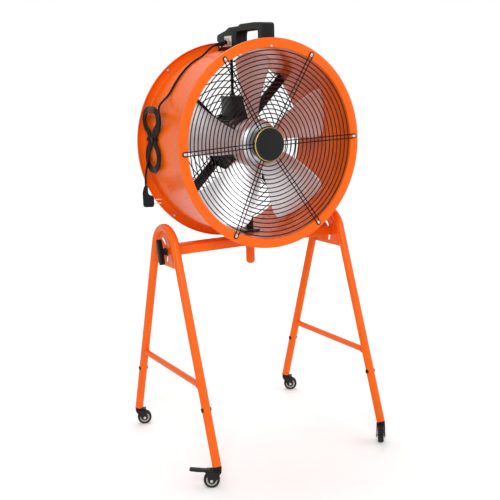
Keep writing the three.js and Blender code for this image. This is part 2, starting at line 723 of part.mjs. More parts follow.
function motorSpider() {
  const ring = turnedAboutY([[motorRadius + gap, spiderY], [motorRadius + 9, spiderY],
    [motorRadius + 9, spiderY + spiderThickness], [motorRadius + gap, spiderY + spiderThickness],
    [motorRadius + gap, spiderY]], 32);
  const reach = boreRadius * Math.cos(Math.PI / drumFacets) - gap;
  const arms = [45, 135, 225, 315].map((degrees) => {
    const from = motorRadius + 4;
    const web = block(reach - 2 - from, spiderThickness, spiderArm, (reach - 2 + from) / 2,
      spiderY + spiderThickness / 2, 0);
    const foot = block(4, 30, spiderArm, reach - 4, spiderY + 15, 0);
    return joined(web, foot).rotateY(-rad(degrees));
  });
  const inside = bar(vec(0, -200, 0), vec(0, 200, 0), reach, drumFacets);
  const whole = solid(joined(ring, ...arms)).intersect(solid(inside));
  const columnRoom = solid(block(columnWide + 2, 60, 80, 0, 0, -motorRadius - 20));
  return surface(whole.subtract(columnRoom));
}
add("motor_spider", moved(motorSpider(), 0, 0, drumZ), blackSteel());

// The flat column that stands over the swivel post and carries the motor's front.
function motorColumn() {
  const bottom = drumZ - boreRadius;
  const top = drumZ - 40;
  const strip = block(columnWide, columnThickness, top - bottom + 10, 0, crossbarY, (top + bottom - 10) / 2);
  const foot = block(60, 36, 16, 0, crossbarY, bottom);
  const room = bar(vec(0, -60, 0), vec(0, 200, 0), motorRadius + gap, 32);
  const within = boreRadius * Math.cos(Math.PI / drumFacets) - gap;
  const inside = bar(vec(0, -200, 0), vec(0, 200, 0), within, drumFacets);
  const column = solid(moved(joined(strip, foot), 0, 0, -drumZ));
  return moved(surface(column.intersect(solid(inside)).subtract(solid(room))), 0, 0, drumZ);
}
add("motor_column", motorColumn(), darkMotor());

// ---------------------------------------------------------------- handle and switch box
const shellTopZ = drumZ + shellOutside;
const flangeTopZ = drumZ + flangeRadius;
function carryHandle() {
  const outline = [
    [handleFront, shellTopZ - 8], [handleFront, handleTopZ - 12], [handleFront + 7, handleTopZ - 4],
    [handleFront + 60, handleTopZ], [fingerBack - 27, handleTopZ], [fingerBack - 12, boxTopZ + 1],
    [slopeStart.y - 28, boxTopZ], [slopeStart.y, slopeStart.z], [slopeEnd.y, slopeEnd.z],
    [boxBack, slopeEnd.z - 6], [boxBack, flangeTopZ + 3], [handleBack, flangeTopZ + 2],
    [handleBack, shellTopZ - 8],
  ];
  const finger = [[fingerFront + 6, handleFootZ], [fingerBack - 6, handleFootZ],
    [fingerBack, handleFootZ + 6], [fingerBack - 3, fingerTopZ - 5], [fingerBack - 10, fingerTopZ],
    [fingerFront + 8, fingerTopZ], [fingerFront, fingerTopZ - 8], [fingerFront, handleFootZ + 6]];
  const body = plateAcrossX(outline, handleWide, -handleWide / 2, [finger]);
  const drum = bar(vec(0, -200, drumZ), vec(0, 200, drumZ), shellOutside + gap, drumFacets);
  const leadHole = bar(vec(0, leadY, shellTopZ - 20), vec(0, leadY, shellTopZ + 14), leadRadius + gap, 10);
  return without(body, drum, leadHole, switchPocket());
}
const slopeAngle = Math.atan2(slopeStart.z - slopeEnd.z, slopeEnd.y - slopeStart.y);
const slopeMiddleY = (slopeStart.y + slopeEnd.y) / 2;
const slopeMiddleZ = (slopeStart.z + slopeEnd.z) / 2;
const onSlope = (geometry) => geometry.rotateX(-slopeAngle).translate(0, slopeMiddleY, slopeMiddleZ);
const rockerWide = 15;
const rockerLong = 22;
function switchPocket() {
  return onSlope(block(rockerWide + 8, rockerLong + 10, 18, 0, 0, -3));
}
function switchFrame() {
  const frame = block(rockerWide + 8 - 2 * gap, rockerLong + 10 - 2 * gap, 13, 0, 0, -4.5);
  const hole = block(rockerWide + 2 * runningGap, rockerLong + 2 * runningGap, 30, 0, 0, 8);
  return onSlope(without(frame, hole));
}
add("carry_handle", carryHandle(), blackPlastic());
add("switch_frame", switchFrame(), blackPlastic());
const rockerTop = 5;
function rocker() {
  const h = rockerLong / 2;
  const outline = [[-h, -2], [-h * 0.7, -4], [h * 0.7, -4], [h, -2], [h - 0.5, rockerTop - 3.4],
    [0, rockerTop - 2], [-h + 0.8, rockerTop]];
  return onSlope(plateAcrossX(outline, rockerWide, -rockerWide / 2));
}
add("power_rocker", rocker(), blackPlastic());

function motorLead() {
  const from = vec(0, leadY, terminalTop + gap);
  const to = vec(0, leadY, shellTopZ + 12);
  return bar(from, to, leadRadius, 10);
}
add("motor_lead", motorLead(), blackRubber());

// ---------------------------------------------------------------- gland plate and strain relief
const boxSideX = -handleWide / 2;
const reliefDirection = vec(-Math.cos(rad(reliefDrop)), 0, -Math.sin(rad(reliefDrop)));
const glandPlateThickness = 2;
const reliefStart = vec(boxSideX - gap - glandPlateThickness - gap, glandY, glandZ);
const glandX = boxSideX - gap - glandPlateThickness / 2;
add("gland_plate", block(glandPlateThickness, 46, 36, glandX, glandY - 3, glandZ), silverSteel());

function strainRelief() {
  const profile = [[0, 0], [reliefRadius + 2.5, 0], [reliefRadius + 2.5, 5]];
  const ribs = 5;
  const pitch = (reliefLength - 8) / ribs;
  for (let i = 0; i < ribs; i++) {
    const along = 6 + i * pitch;
    const radius = reliefRadius - ((reliefRadius - cordRadius - 1) * i) / ribs;
    profile.push([radius - 1.2, along], [radius, along + pitch * 0.3], [radius, along + pitch * 0.7]);
  }
  profile.push([cordRadius + 1, reliefLength], [0, reliefLength]);
  const body = turnedAboutY(profile, 12);
  const turn = new THREE.Quaternion().setFromUnitVectors(vec(0, 1, 0), reliefDirection);
  body.applyQuaternion(turn).translate(...reliefStart.toArray());
  const plateRoom = block(60, 80, 80, boxSideX - gap - glandPlateThickness - gap + 30, glandY, glandZ);
  return without(body, plateRoom);
}
add("strain_relief", strainRelief(), blackRubber());

// ---------------------------------------------------------------- mains cord
const reliefEnd = reliefStart.clone().addScaledVector(reliefDirection, reliefLength);
const exitPoint = reliefEnd.clone().addScaledVector(reliefDirection, gap);
const cordOnShell = shellOutside + cordRadius + 1;
const overShell = (degrees, y) =>
  vec(-cordOnShell * Math.cos(rad(degrees)), y, drumZ + cordOnShell * Math.sin(rad(degrees)));

// Evenly spaced points on a smooth curve through chosen points.
function smoothStations(points, spacing) {
  const curve = new THREE.CatmullRomCurve3(points, false, "centripetal");
  const count = Math.round(curve.getLength() / spacing);
  return curve.getSpacedPoints(count);
}

// One quarter of the hank, from the middle of an end to the waist: a straight stretch, a corner and a
// hollow side, all of them a given distance outside the innermost turn.
function hankQuarter(flat, share, outside) {
  const across = hankWaist + hankHollow - flat;
  const corner = (across ** 2 + hankHalfHeight ** 2 - hankHollow ** 2) / (2 * (hankHalfHeight + hankHollow));
  const centreZ = hankHalfHeight - corner;
  const turn = Math.atan2(centreZ, across);
  const middle = 1.5 * hankPitch;
  const cornerRun = (corner + middle) * (Math.PI / 2 + turn);
  const hollowRun = (hankHollow - middle) * turn;
  const run = share * (flat + cornerRun + hollowRun);
  if (run < flat) return [run, hankHalfHeight + outside];
  if (run < flat + cornerRun) {
    const angle = Math.PI / 2 - (run - flat) / (corner + middle);
    return [flat + (corner + outside) * Math.cos(angle), centreZ + (corner + outside) * Math.sin(angle)];
  }
  const angle = Math.PI - turn + (run - flat - cornerRun) / (hankHollow - middle);
  const radius = hankHollow - outside;
  return [hankWaist + hankHollow + radius * Math.cos(angle), radius * Math.sin(angle)];
}

// The hank: u counts half turns from the entry at its front side. Strands run down in front and up
// behind, each turn inside the last one, and the waist is drawn in by the tie.
const lastTurn = (hankHalfTurns + hankEntry) / 2;
function hankPoint(u) {
  const turns = (u + hankEntry) / 2;
  const quarter = Math.floor(4 * turns);
  const place = 4 * turns - quarter;
  const inFront = quarter % 4 < 2;
  const above = quarter % 4 === 0 || quarter % 4 === 3;
  const share = quarter % 2 === 0 ? place : 1 - place;
  const [y, z] = hankQuarter(above ? hankUpperFlat : hankLowerFlat, share, hankPitch * (lastTurn - turns));
  return vec(hankX, hankY + (inFront ? -y : y), hankZ + (above ? z : -z));
}

function hankStations() {
  const steps = Math.round((hankHalfTurns * hankStepsPerTurn) / 2);
  return Array.from({ length: steps + 1 }, (_, i) => hankPoint((2 * i) / hankStepsPerTurn));
}

// The tail leaves the innermost turn at the tie, comes to lie over the rear strands and hangs down.
const tailX = hankX - cordLayer;
const plugTop = 40;
const plugNeckZ = plugZ + plugTop;
const loops = hankStations();
const tailFrom = loops.at(-1);
const tailDrop = tailFrom.z - plugNeckZ - gap - 4 * cordRadius;
const ease = (t) => t * t * (3 - 2 * t);
function tailPoint(t) {
  const x = tailFrom.x + (tailX - tailFrom.x) * ease(Math.min(1, 3 * t));
  const y = tailFrom.y + (tailY - tailFrom.y) * ease(t);
  return vec(x, y, tailFrom.z - tailDrop * t);
}
const tailSteps = 18;
const tail = Array.from({ length: tailSteps }, (_, i) => tailPoint((i + 1) / tailSteps));
tail.push(vec(tailX, tailY, plugNeckZ + gap));
const entry = loops[0].clone();
const entryDirection = loops[0].clone().sub(loops[1]).normalize();
const entryStart = entry.clone().addScaledVector(entryDirection, 2 * cordRadius);
const hankPath = [entryStart, ...loops, ...tail];

// The free stretch has three parts: down from the strain relief, round the shell, and off it to the hank.
const alongShell = (degrees) => vec(-Math.sin(rad(degrees)), 0, -Math.cos(rad(degrees)));
const landing = { degrees: 66, y: 84 };
const leaving = { degrees: 34, y: 48 };
const overPoints = [
  overShell(landing.degrees, landing.y),
  overShell(60, 80),
  overShell(52, 69),
  overShell(45, 58),
  overShell(39, 51),
  overShell(leaving.degrees, leaving.y),
];
const runEnd = entryStart.clone().addScaledVector(entryDirection, gap);

// A smooth bend between two points that leaves and arrives along given directions.
function bend(from, leavesAlong, to, arrivesAlong, arm, steps) {
  const nearFrom = from.clone().addScaledVector(leavesAlong, arm);
  const nearTo = to.clone().addScaledVector(arrivesAlong, -arm);
  return new THREE.CubicBezierCurve3(from, nearFrom, nearTo, to).getPoints(steps);
}
const intoHank = entryDirection.clone().negate();
const downFromRelief = bend(exitPoint, reliefDirection, overPoints[0], alongShell(landing.degrees), 24, 5);
const roundShell = smoothStations(overPoints, 5 * cordRadius);
const offShell = bend(overPoints.at(-1), alongShell(leaving.degrees), runEnd, intoHank, 32, 8);
const runStations = [...downFromRelief, ...roundShell.slice(1, -1), ...offShell];
const cordRun = tubeThrough(runStations, cordRadius, cordSides, 0, 0, reliefDirection, intoHank);
add("cord_run", cordRun, blackRubber());
const hankSides = 6;
add("cord_hank", tubeThrough(hankPath, cordRadius, hankSides, 0, 0, intoHank, vec(0, 0, -1)), blackRubber());

const lengthOf = (points) => points.slice(1).reduce((sum, point, i) => sum + point.distanceTo(points[i]), 0);
const cordLength = lengthOf(runStations) + lengthOf(hankPath) + gap;

// Least gap of the hank to itself, between stretches more than a half turn apart or nearly so.
function leastGap(points, apart) {
  let least = Infinity;
  const fine = [];
  for (let i = 0; i + 1 < points.length; i++) {
    for (let k = 0; k < 4; k++) fine.push(points[i].clone().lerp(points[i + 1], k / 4));
  }
  const along = [0];
  for (let i = 1; i < fine.length; i++) along.push(along[i - 1] + fine[i].distanceTo(fine[i - 1]));
  for (let i = 0; i < fine.length; i++) {
    for (let j = i + 1; j < fine.length; j++) {
      if (along[j] - along[i] > apart) least = Math.min(least, fine[i].distanceTo(fine[j]));
    }
  }
  return least - 2 * cordRadius;
}
const hankGap = leastGap(hankPath, 60);

// The smallest bend radius of a run of stations, taken over three points about one fold apart.
function tightestBend(points, apart) {
  const curve = new THREE.CatmullRomCurve3(points, false, "centripetal");
  const fine = curve.getSpacedPoints(Math.round(curve.getLength() / 2));
  const step = Math.round(apart / 2);
  let least = Infinity;
  for (let i = step; i + step < fine.length; i++) {
    const [a, b, c] = [fine[i - step], fine[i], fine[i + step]];
    const twiceArea = b.clone().sub(a).cross(c.clone().sub(a)).length();
    const product = a.distanceTo(b) * b.distanceTo(c) * c.distanceTo(a);
    least = Math.min(least, product / Math.max(2 * twiceArea, 1e-6));
  }
  return least;
}
const hankBend = tightestBend(hankPath, 12);
const runBend = tightestBend([...runStations, ...hankPath.slice(0, 4)], 12);
console.log(`cord length ${cordLength.toFixed(0)} mm, hank's least gap to itself ${hankGap.toFixed(2)} mm`);
console.log(`tightest bend: hank ${hankBend.toFixed(1)} mm, free stretch ${runBend.toFixed(1)} mm`);

// The tie that holds the hank's waist against the drum.
function cordTie() {
  const wall = 1.4;
  const inner = hankX + cordRadius + 0.8;
  const outerX = hankX - cordRadius - 0.8;
  const halfWide = hankWaist + hankPitch * lastTurn + cordRadius + 1;
  const middle = (inner + outerX) / 2;
  const outer = block(inner - outerX + 2 * wall, 2 * (halfWide + wall), 12, middle, hankY, hankZ);
  const room = block(inner - outerX, 2 * halfWide, 20, middle, hankY, hankZ);
  const footFrom = -shellOutside - gap;
  const footTo = inner + wall / 2;
  const foot = block(footFrom - footTo, 30, 12, (footFrom + footTo) / 2, hankY, hankZ);
  return joined(without(outer, room), foot);
}
add("cord_tie", cordTie(), blackPlastic());

// The angled plug: its cord comes in from above and its two pins stand square to the cord.
function plugShape() {
  const outline = [[-13, -22], [-6, -30], [24, -30], [27, -26], [27, 2], [22, 8], [9, 10], [6, 24],
    [6, plugTop], [-7, plugTop], [-13, 22]];
  const body = plate(outline, 22).rotateX(Math.PI / 2).translate(0, 11, 0);
  const pins = [-6.35, 6.35].map((z) => block(22, 6.3, 1.6, 27 + 10, 0, z - 12));
  return joined(body, ...pins).rotateZ(-rad(plugTurn));
}
add("mains_plug", moved(plugShape(), tailX, tailY, plugZ), blackPlastic());

export default machine;
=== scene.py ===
"""Drum fan on a wheeled, tilting stand: the visual model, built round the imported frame."""
import math

import bmesh
import bpy
from bpy.props import FloatProperty, FloatVectorProperty, IntProperty, PointerProperty
from mathutils import Matrix, Vector


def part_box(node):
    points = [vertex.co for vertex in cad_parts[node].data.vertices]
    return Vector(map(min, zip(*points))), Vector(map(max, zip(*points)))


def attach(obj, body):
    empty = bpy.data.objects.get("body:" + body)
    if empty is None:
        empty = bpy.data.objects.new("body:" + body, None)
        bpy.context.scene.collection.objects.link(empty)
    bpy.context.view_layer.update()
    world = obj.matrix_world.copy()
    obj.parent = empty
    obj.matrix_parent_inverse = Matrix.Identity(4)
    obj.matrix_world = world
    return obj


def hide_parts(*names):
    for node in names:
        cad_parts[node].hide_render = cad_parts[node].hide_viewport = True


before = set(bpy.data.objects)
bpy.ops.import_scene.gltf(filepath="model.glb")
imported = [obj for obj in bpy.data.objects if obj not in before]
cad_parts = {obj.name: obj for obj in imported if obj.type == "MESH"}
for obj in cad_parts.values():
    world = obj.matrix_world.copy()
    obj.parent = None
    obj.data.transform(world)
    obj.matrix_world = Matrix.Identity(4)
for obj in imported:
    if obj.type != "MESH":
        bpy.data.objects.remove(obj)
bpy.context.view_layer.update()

bl_info = {
    "name": "Drum fan",
    "version": (1, 0, 0),
    "blender": (4, 5, 0),
    "location": "View3D > Sidebar > Drum fan",
    "description": "Builds an industrial drum fan on a wheeled stand",
    "category": "Add Mesh",
}

# The stand's middle on the floor. Shapes are worked out in millimetres from there.
MIDDLE = Vector((
    (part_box("swivel_post")[0][0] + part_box("swivel_post")[1][0]) / 2,
    (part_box("left_frame_tube")[0][1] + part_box("left_frame_tube")[1][1]) / 2,
    0,
))
TO_FRAME = Matrix.Translation(MIDDLE) @ Matrix.Scale(0.001, 4)


def mm(metres):
    return metres * 1000


# ---------------------------------------------------------------- sizes and colours
def length(name, text, default):
    return FloatProperty(name=name, description=text, default=default, unit="LENGTH", precision=4)


def tint(name, text, default):
    return FloatVectorProperty(
        name=name, description=text, default=default, size=3, min=0, max=1, subtype="COLOR"
    )


class FanStandSizes(bpy.types.PropertyGroup):
    frame_middle: length("Frame middle", "From the stand's middle to each side frame", 0.316)
    tube_radius: length("Tube radius", "Outside radius of the frame tube", 0.014)
    foot_half: length("Foot half spread", "From the middle to each tube end", 0.300)
    foot_height: length("Foot height", "Height of the tube ends", 0.066)
    arch_height: length("Arch height", "Height of the bend's centre", 0.686)
    arch_radius: length("Arch radius", "Radius of the tube's bend", 0.077)
    brace_height: length("Brace height", "Height of the braces", 0.297)
    pivot_height: length("Pivot height", "Height of the tilt axis", 0.676)
    pivot_depth: length("Pivot depth", "Tilt axis behind the stand's middle", 0.045)
    slot_radius: length("Slot radius", "From the tilt axis to the guide pin", 0.056)
    bar_height: length("Bar height", "Height of the crossbar's middle", 0.689)
    bar_depth: length("Bar depth", "Crossbar and post behind the stand's middle", 0.008)
    plug_height: length("Plug height", "Height of the plugs across the legs", 0.230)


class FanDrumSizes(bpy.types.PropertyGroup):
    axis_height: length("Axis height", "Height of the fan's axis", 1.016)
    bore_radius: length("Bore radius", "Inside radius of the drum", 0.300)
    wall: length("Wall", "Thickness of the drum's sheet", 0.0015)
    flange_radius: length("Flange radius", "Outside radius of the end rings", 0.330)
    depth: length("Depth", "Depth of the drum", 0.320)
    front_rings: IntProperty(name="Front rings", description="Rings of the front guard", default=18, min=4)
    rear_rings: IntProperty(name="Rear rings", description="Rings of the rear guard", default=13, min=4)
    wire: length("Wire radius", "Radius of the guards' wire", 0.0018)
    blades: IntProperty(name="Blades", description="Blades of the fan", default=5, min=2)


class FanCordSizes(bpy.types.PropertyGroup):
    radius: length("Cord radius", "Radius of the mains cord", 0.0035)


class FanColours(bpy.types.PropertyGroup):
    coat: tint("Powder coat", "Colour of the drum and the frames", (0.90, 0.13, 0.004))
    plastic: tint("Moulded plastic", "Colour of the handle, knob and casters", (0.009, 0.009, 0.011))
    wire: tint("Wire coating", "Colour of the guards", (0.004, 0.004, 0.005))
    metal: tint("Bright metal", "Colour of blades and hub", (0.80, 0.81, 0.83))
    zinc: tint("Zinc plate", "Colour of the screws", (0.60, 0.59, 0.56))
    gold: tint("Gold trim", "Colour of the badge's rim", (0.70, 0.48, 0.12))
    casting: tint("Motor paint", "Colour of the motor", (0.028, 0.030, 0.033))
    rubber: tint("Rubber", "Colour of tyres and strain relief", (0.006, 0.006, 0.006))
    wheel: tint("Wheel plastic", "Colour of the wheels' rims", (0.60, 0.60, 0.57))
    gloss: FloatProperty(
        name="Coat roughness", description="Roughness of the powder coat", default=0.27,
        min=0, max=1, subtype="FACTOR",
    )


def stand():
    return bpy.context.scene.fan_stand


def drum():
    return bpy.context.scene.fan_drum


def colours():
    return bpy.context.scene.fan_colours


# ---------------------------------------------------------------- shaping
# A shell here is one closed bmesh, in millimetres from the stand's middle on the floor.
UP, BACK, ORIGIN = (0, 0, 1), (0, 1, 0), (0, 0, 0)
ACROSS_X = Matrix(((0, 0, 1, 0), (1, 0, 0, 0), (0, 1, 0, 0), (0, 0, 0, 1)))
ACROSS_Y = Matrix(((1, 0, 0, 0), (0, 0, -1, 0), (0, 1, 0, 0), (0, 0, 0, 1)))


def at(x, y, z):
    return Matrix.Translation((x, y, z))


def turn_to(start, end):
    """The turn that carries one direction to another."""
    return Vector(start).rotation_difference(Vector(end)).to_matrix().to_4x4()


def circle(radius, count, u=0.0, v=0.0):
    return [
        (u + radius * math.cos(math.tau * i / count), v + radius * math.sin(math.tau * i / count))
        for i in range(count)
    ]


def both_ways(half):
    """A profile of (radius, distance along the axis) points, carried on by its mirror image."""
    return [*half, *((radius, -along) for radius, along in reversed(half))]


def sharp_edges(shell, degrees):
    return [
        edge for edge in shell.edges
        if len(edge.link_faces) == 2 and edge.calc_face_angle(0) > math.radians(degrees)
    ]


def soften(shell, width, segments=2, degrees=35):
    """Round the shell's sharp edges."""
    bmesh.ops.recalc_face_normals(shell, faces=shell.faces)
    bmesh.ops.bevel(
        shell, geom=sharp_edges(shell, degrees), offset=width, offset_type="OFFSET",
        segments=segments, profile=0.5, affect="EDGES", material=-1, clamp_overlap=True,
    )
    return shell


def placed(shell, matrix):
    bmesh.ops.transform(shell, matrix=matrix, verts=shell.verts)
    return shell


def turned(profile, centre, axis, steps=64):
    """Turn a profile of (radius, distance along the axis) points about an axis."""
    shell = bmesh.new()
    axis = Vector(axis).normalized()
    side = axis.orthogonal().normalized()
    centre = Vector(centre)
    verts = [shell.verts.new(centre + side * r + axis * along) for r, along in profile]
    edges = [shell.edges.new(pair) for pair in zip(verts, verts[1:])]
    bmesh.ops.spin(
        shell, geom=verts + edges, cent=centre, axis=axis, angle=math.tau, steps=steps,
        use_merge=True, use_duplicate=False,
    )
    bmesh.ops.remove_doubles(shell, verts=shell.verts, dist=0.002)
    bmesh.ops.recalc_face_normals(shell, faces=shell.faces)
    return shell


def swept(points, radius, sides):
    """Sweep a round section along points; it ends in flat faces."""
    shell = bmesh.new()
    points = [Vector(point) for point in points]
    steps = [(b - a).normalized() for a, b in zip(points, points[1:])]
    inner = [(a + b).normalized() for a, b in zip(steps, steps[1:])]
    heading = [steps[0], *inner, steps[-1]]
    start = at(*points[0]) @ turn_to(UP, heading[0])
    bmesh.ops.create_circle(shell, cap_ends=True, segments=sides, radius=radius, matrix=start)
    shell.faces.ensure_lookup_table()
    face = shell.faces[0]
    for i in range(1, len(points)):
        grown = bmesh.ops.extrude_face_region(shell, geom=[face])["geom"]
        verts = [item for item in grown if isinstance(item, bmesh.types.BMVert)]
        face = next(item for item in grown if isinstance(item, bmesh.types.BMFace))
        step = at(*points[i]) @ turn_to(heading[i - 1], heading[i]) @ at(*-points[i - 1])
        bmesh.ops.transform(shell, matrix=step, verts=verts)
    bmesh.ops.recalc_face_normals(shell, faces=shell.faces)
    return shell


def rod(start, end, radius, sides):
    return swept([start, end], radius, sides)


def slab(outline, thickness, place, holes=(), soft=0.0, segments=2):
    """A plate whose outline and holes lie in the local XY plane, thick along local Z."""
    shell = bmesh.new()
    edges = []
    for loop in (outline, *holes):
        verts = [shell.verts.new((u, v, 0)) for u, v in loop]
        edges += [shell.edges.new(pair) for pair in zip(verts, verts[1:] + verts[:1])]
    if holes:
        bmesh.ops.triangle_fill(shell, use_beauty=True, use_dissolve=False, edges=edges)
    else:
        bmesh.ops.contextual_create(shell, geom=edges)
    grown = bmesh.ops.extrude_face_region(shell, geom=shell.faces[:])["geom"]
    verts = [item for item in grown if isinstance(item, bmesh.types.BMVert)]
    bmesh.ops.translate(shell, vec=(0, 0, thickness), verts=verts)
    if soft:
        soften(shell, soft, segments)
    bmesh.ops.recalc_face_normals(shell, faces=shell.faces)
    return placed(shell, place)


def rounded_box(size, centre, soft=0.5, turn=Matrix.Identity(4), segments=2):
    shell = bmesh.new()
    bmesh.ops.create_cube(shell, size=1.0, matrix=Matrix.Diagonal((*size, 1)))
    soften(shell, soft, segments)
    return placed(shell, Matrix.Translation(centre) @ turn)


def hex_head(centre, axis, across, tall):
    """A hexagon head with its edges eased, standing on centre."""
    return slab(circle(across / math.sqrt(3), 6), tall, at(*centre) @ turn_to(UP, axis), soft=0.5)


def screw(centre, axis, radius=4.5, tall=2.6, washer=True):
    """A domed screw head with a socket, on its washer."""
    base = 0.0
    shells = []
    if washer:
        shells.append(turned(
            [(0, -0.4), (radius * 1.5, -0.4), (radius * 1.55, 0.5), (radius * 1.5, 0.9), (0, 0.9)],
            centre, axis, 24,
        ))
        base = 0.7
    socket = radius * 0.38
    head = [
        (0, base - 0.5), (radius, base - 0.5), (radius, base + 0.5), (radius * 0.9, base + tall * 0.6),
        (radius * 0.6, base + tall), (socket, base + tall * 1.02), (socket, base + tall * 0.4),
        (0, base + tall * 0.35),
    ]
    shells.append(turned(head, centre, axis, 20))
    return shells


def piece(name, shells, body, finish, stands_for=(), crease=38):
    """Join shells into one object on a body, in metres; its material slot holds the finish."""
    whole = bmesh.new()
    for shell in shells:
        part = bpy.data.meshes.new("part")
        shell.to_mesh(part)
        shell.free()
        whole.from_mesh(part)
        bpy.data.meshes.remove(part)
    for face in whole.faces:
        face.smooth = True
    for edge in sharp_edges(whole, crease):
        edge.smooth = False
    bmesh.ops.transform(whole, matrix=TO_FRAME, verts=whole.verts)
    mesh = bpy.data.meshes.new(name)
    whole.to_mesh(mesh)
    whole.free()
    mesh.materials.append(get_finish(finish))
    made = bpy.data.objects.new(name, mesh)
    bpy.context.scene.collection.objects.link(made)
    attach(made, body)
    if stands_for:
        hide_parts(*stands_for)
    return made


# ---------------------------------------------------------------- finishes
def new_group(name, inputs, outputs):
    group = bpy.data.node_groups.new(name, "ShaderNodeTree")
    for label, kind, default in inputs:
        socket = group.interface.new_socket(name=label, in_out="INPUT", socket_type=kind)
        socket.default_value = default
    for label, kind in outputs:
        group.interface.new_socket(name=label, in_out="OUTPUT", socket_type=kind)
    return group, group.nodes.new("NodeGroupInput").outputs, group.nodes.new("NodeGroupOutput").inputs


def feed(tree, socket, value):
    """Give an input a value, or a link from another node's output."""
    if isinstance(value, bpy.types.NodeSocket):
        tree.links.new(value, socket)
    else:
        socket.default_value = value


def new_node(tree, kind, settings=(), **values):
    """Add a shader node with its settings, and feed the inputs that are named; gives its outputs."""
    node = tree.nodes.new(f"ShaderNode{kind}")
    for name, value in dict(settings).items():
        setattr(node, name, value)
    for label, value in values.items():
        feed(tree, node.inputs[label.replace("_", " ")], value)
    return node.outputs


def combine(tree, operation, *values, clamp=False):
    """One step of arithmetic; gives its result."""
    node = tree.nodes.new("ShaderNodeMath")
    node.operation, node.use_clamp = operation, clamp
    for socket, value in zip(node.inputs, values):
        feed(tree, socket, value)
    return node.outputs[0]


def mixed(tree, **values):
    return new_node(tree, "Mix", {"data_type": "RGBA"}, **values)["Result"]


def object_place(tree):
    return new_node(tree, "TexCoord")["Object"]


def grain_group():
    """Fine grain for bump and a slow mottle, both on Object coordinates."""
    group, given, out = new_group(
        "surface_grain",
        [("Grain Scale", "NodeSocketFloat", 900.0), ("Mottle Scale", "NodeSocketFloat", 14.0)],
        [("Grain", "NodeSocketFloat"), ("Mottle", "NodeSocketFloat")],
    )
    place = object_place(group)
    fine = new_node(group, "TexNoise", Vector=place, Scale=given["Grain Scale"], Detail=3.0)
    slow = new_node(
        group, "TexNoise", Vector=place, Scale=given["Mottle Scale"], Detail=5.0, Roughness=0.6
    )
    spread = new_node(group, "MapRange", Value=slow["Fac"], From_Min=0.3, From_Max=0.7)
    feed(group, out["Grain"], fine["Fac"])
    feed(group, out["Mottle"], spread["Result"])
    return group


def dust_group():
    """Pale dust that settles on faces that look up and near the floor."""
    group, given, out = new_group(
        "settled_dust",
        [
            ("Color", "NodeSocketColor", (0.5, 0.5, 0.5, 1)),
            ("Dust Color", "NodeSocketColor", (0.42, 0.39, 0.35, 1)),
            ("Amount", "NodeSocketFloat", 0.2),
        ],
        [("Color", "NodeSocketColor"), ("Mask", "NodeSocketFloat")],
    )
    place = new_node(group, "TexCoord")
    facing = new_node(group, "SeparateXYZ", Vector=place["Normal"])
    spot = new_node(group, "SeparateXYZ", Vector=place["Object"])
    up = new_node(group, "MapRange", Value=facing["Z"], From_Min=0.35, From_Max=1.0)
    low = new_node(group, "MapRange", Value=spot["Z"], From_Min=0.12, From_Max=0.0)
    patch = new_node(group, "TexNoise", Vector=place["Object"], Scale=55.0, Detail=6.0)
    both = combine(group, "ADD", up["Result"], low["Result"], clamp=True)
    broken = combine(group, "MULTIPLY", both, patch["Fac"])
    strength = combine(group, "MULTIPLY", broken, given["Amount"], clamp=True)
    feed(group, out["Color"], mixed(group, Factor=strength, A=given["Color"], B=given["Dust Color"]))
    feed(group, out["Mask"], strength)
    return group


def scratch_group():
    """Short hairline scratches in two directions."""
    group, given, out = new_group(
        "hairlines", [("Scale", "NodeSocketFloat", 60.0)], [("Lines", "NodeSocketFloat")]
    )
    place = object_place(group)
    masks = []
    for turn in (0.5, 2.1):
        mapping = new_node(
            group, "Mapping", Vector=place, Rotation=(turn, 0.3, turn * 0.7), Scale=(1.0, 14.0, 1.0)
        )
        noise = new_node(group, "TexNoise", Vector=mapping["Vector"], Scale=given["Scale"], Detail=4.0)
        cut = new_node(group, "MapRange", Value=noise["Fac"], From_Min=0.66, From_Max=0.72)
        masks.append(cut["Result"])
    feed(group, out["Lines"], combine(group, "MAXIMUM", *masks))
    return group


def radial_group():
    """Brushed streaks that run out from the fan's axis."""
    group, given, out = new_group(
        "radial_brushing",
        [("Centre", "NodeSocketVector", (0, 0, 0)), ("Fineness", "NodeSocketFloat", 60.0)],
        [("Streaks", "NodeSocketFloat")],
    )
    shift = group.nodes.new("ShaderNodeVectorMath")
    shift.operation = "SUBTRACT"
    feed(group, shift.inputs[0], object_place(group))
    feed(group, shift.inputs[1], given["Centre"])
    spot = shift.outputs["Vector"]
    parts = new_node(group, "SeparateXYZ", Vector=spot)
    reach = new_node(group, "VectorMath", {"operation": "LENGTH"}, Vector=spot)
    round_axis = combine(group, "ARCTAN2", parts["Z"], parts["X"])
    wide = combine(group, "MULTIPLY", round_axis, given["Fineness"])
    far = combine(group, "MULTIPLY", reach["Value"], 6.0)
    join = new_node(group, "CombineXYZ", X=wide, Y=far)
    noise = new_node(group, "TexNoise", Vector=join["Vector"], Scale=1.0, Detail=4.0)
    feed(group, out["Streaks"], noise["Fac"])
    return group


GROUPS = {}
MAKERS = {
    "grain": grain_group, "dust": dust_group, "hairlines": scratch_group, "radial": radial_group,
}


def effect(tree, key, **values):
    """Place a shared effect in a material with its own values; gives its outputs."""
    if key not in GROUPS:
        GROUPS[key] = MAKERS[key]()
    return new_node(tree, "Group", {"node_tree": GROUPS[key]}, **values)


def shaded(colour, factor):
    return (*(min(1.0, channel * factor) for channel in colour), 1.0)


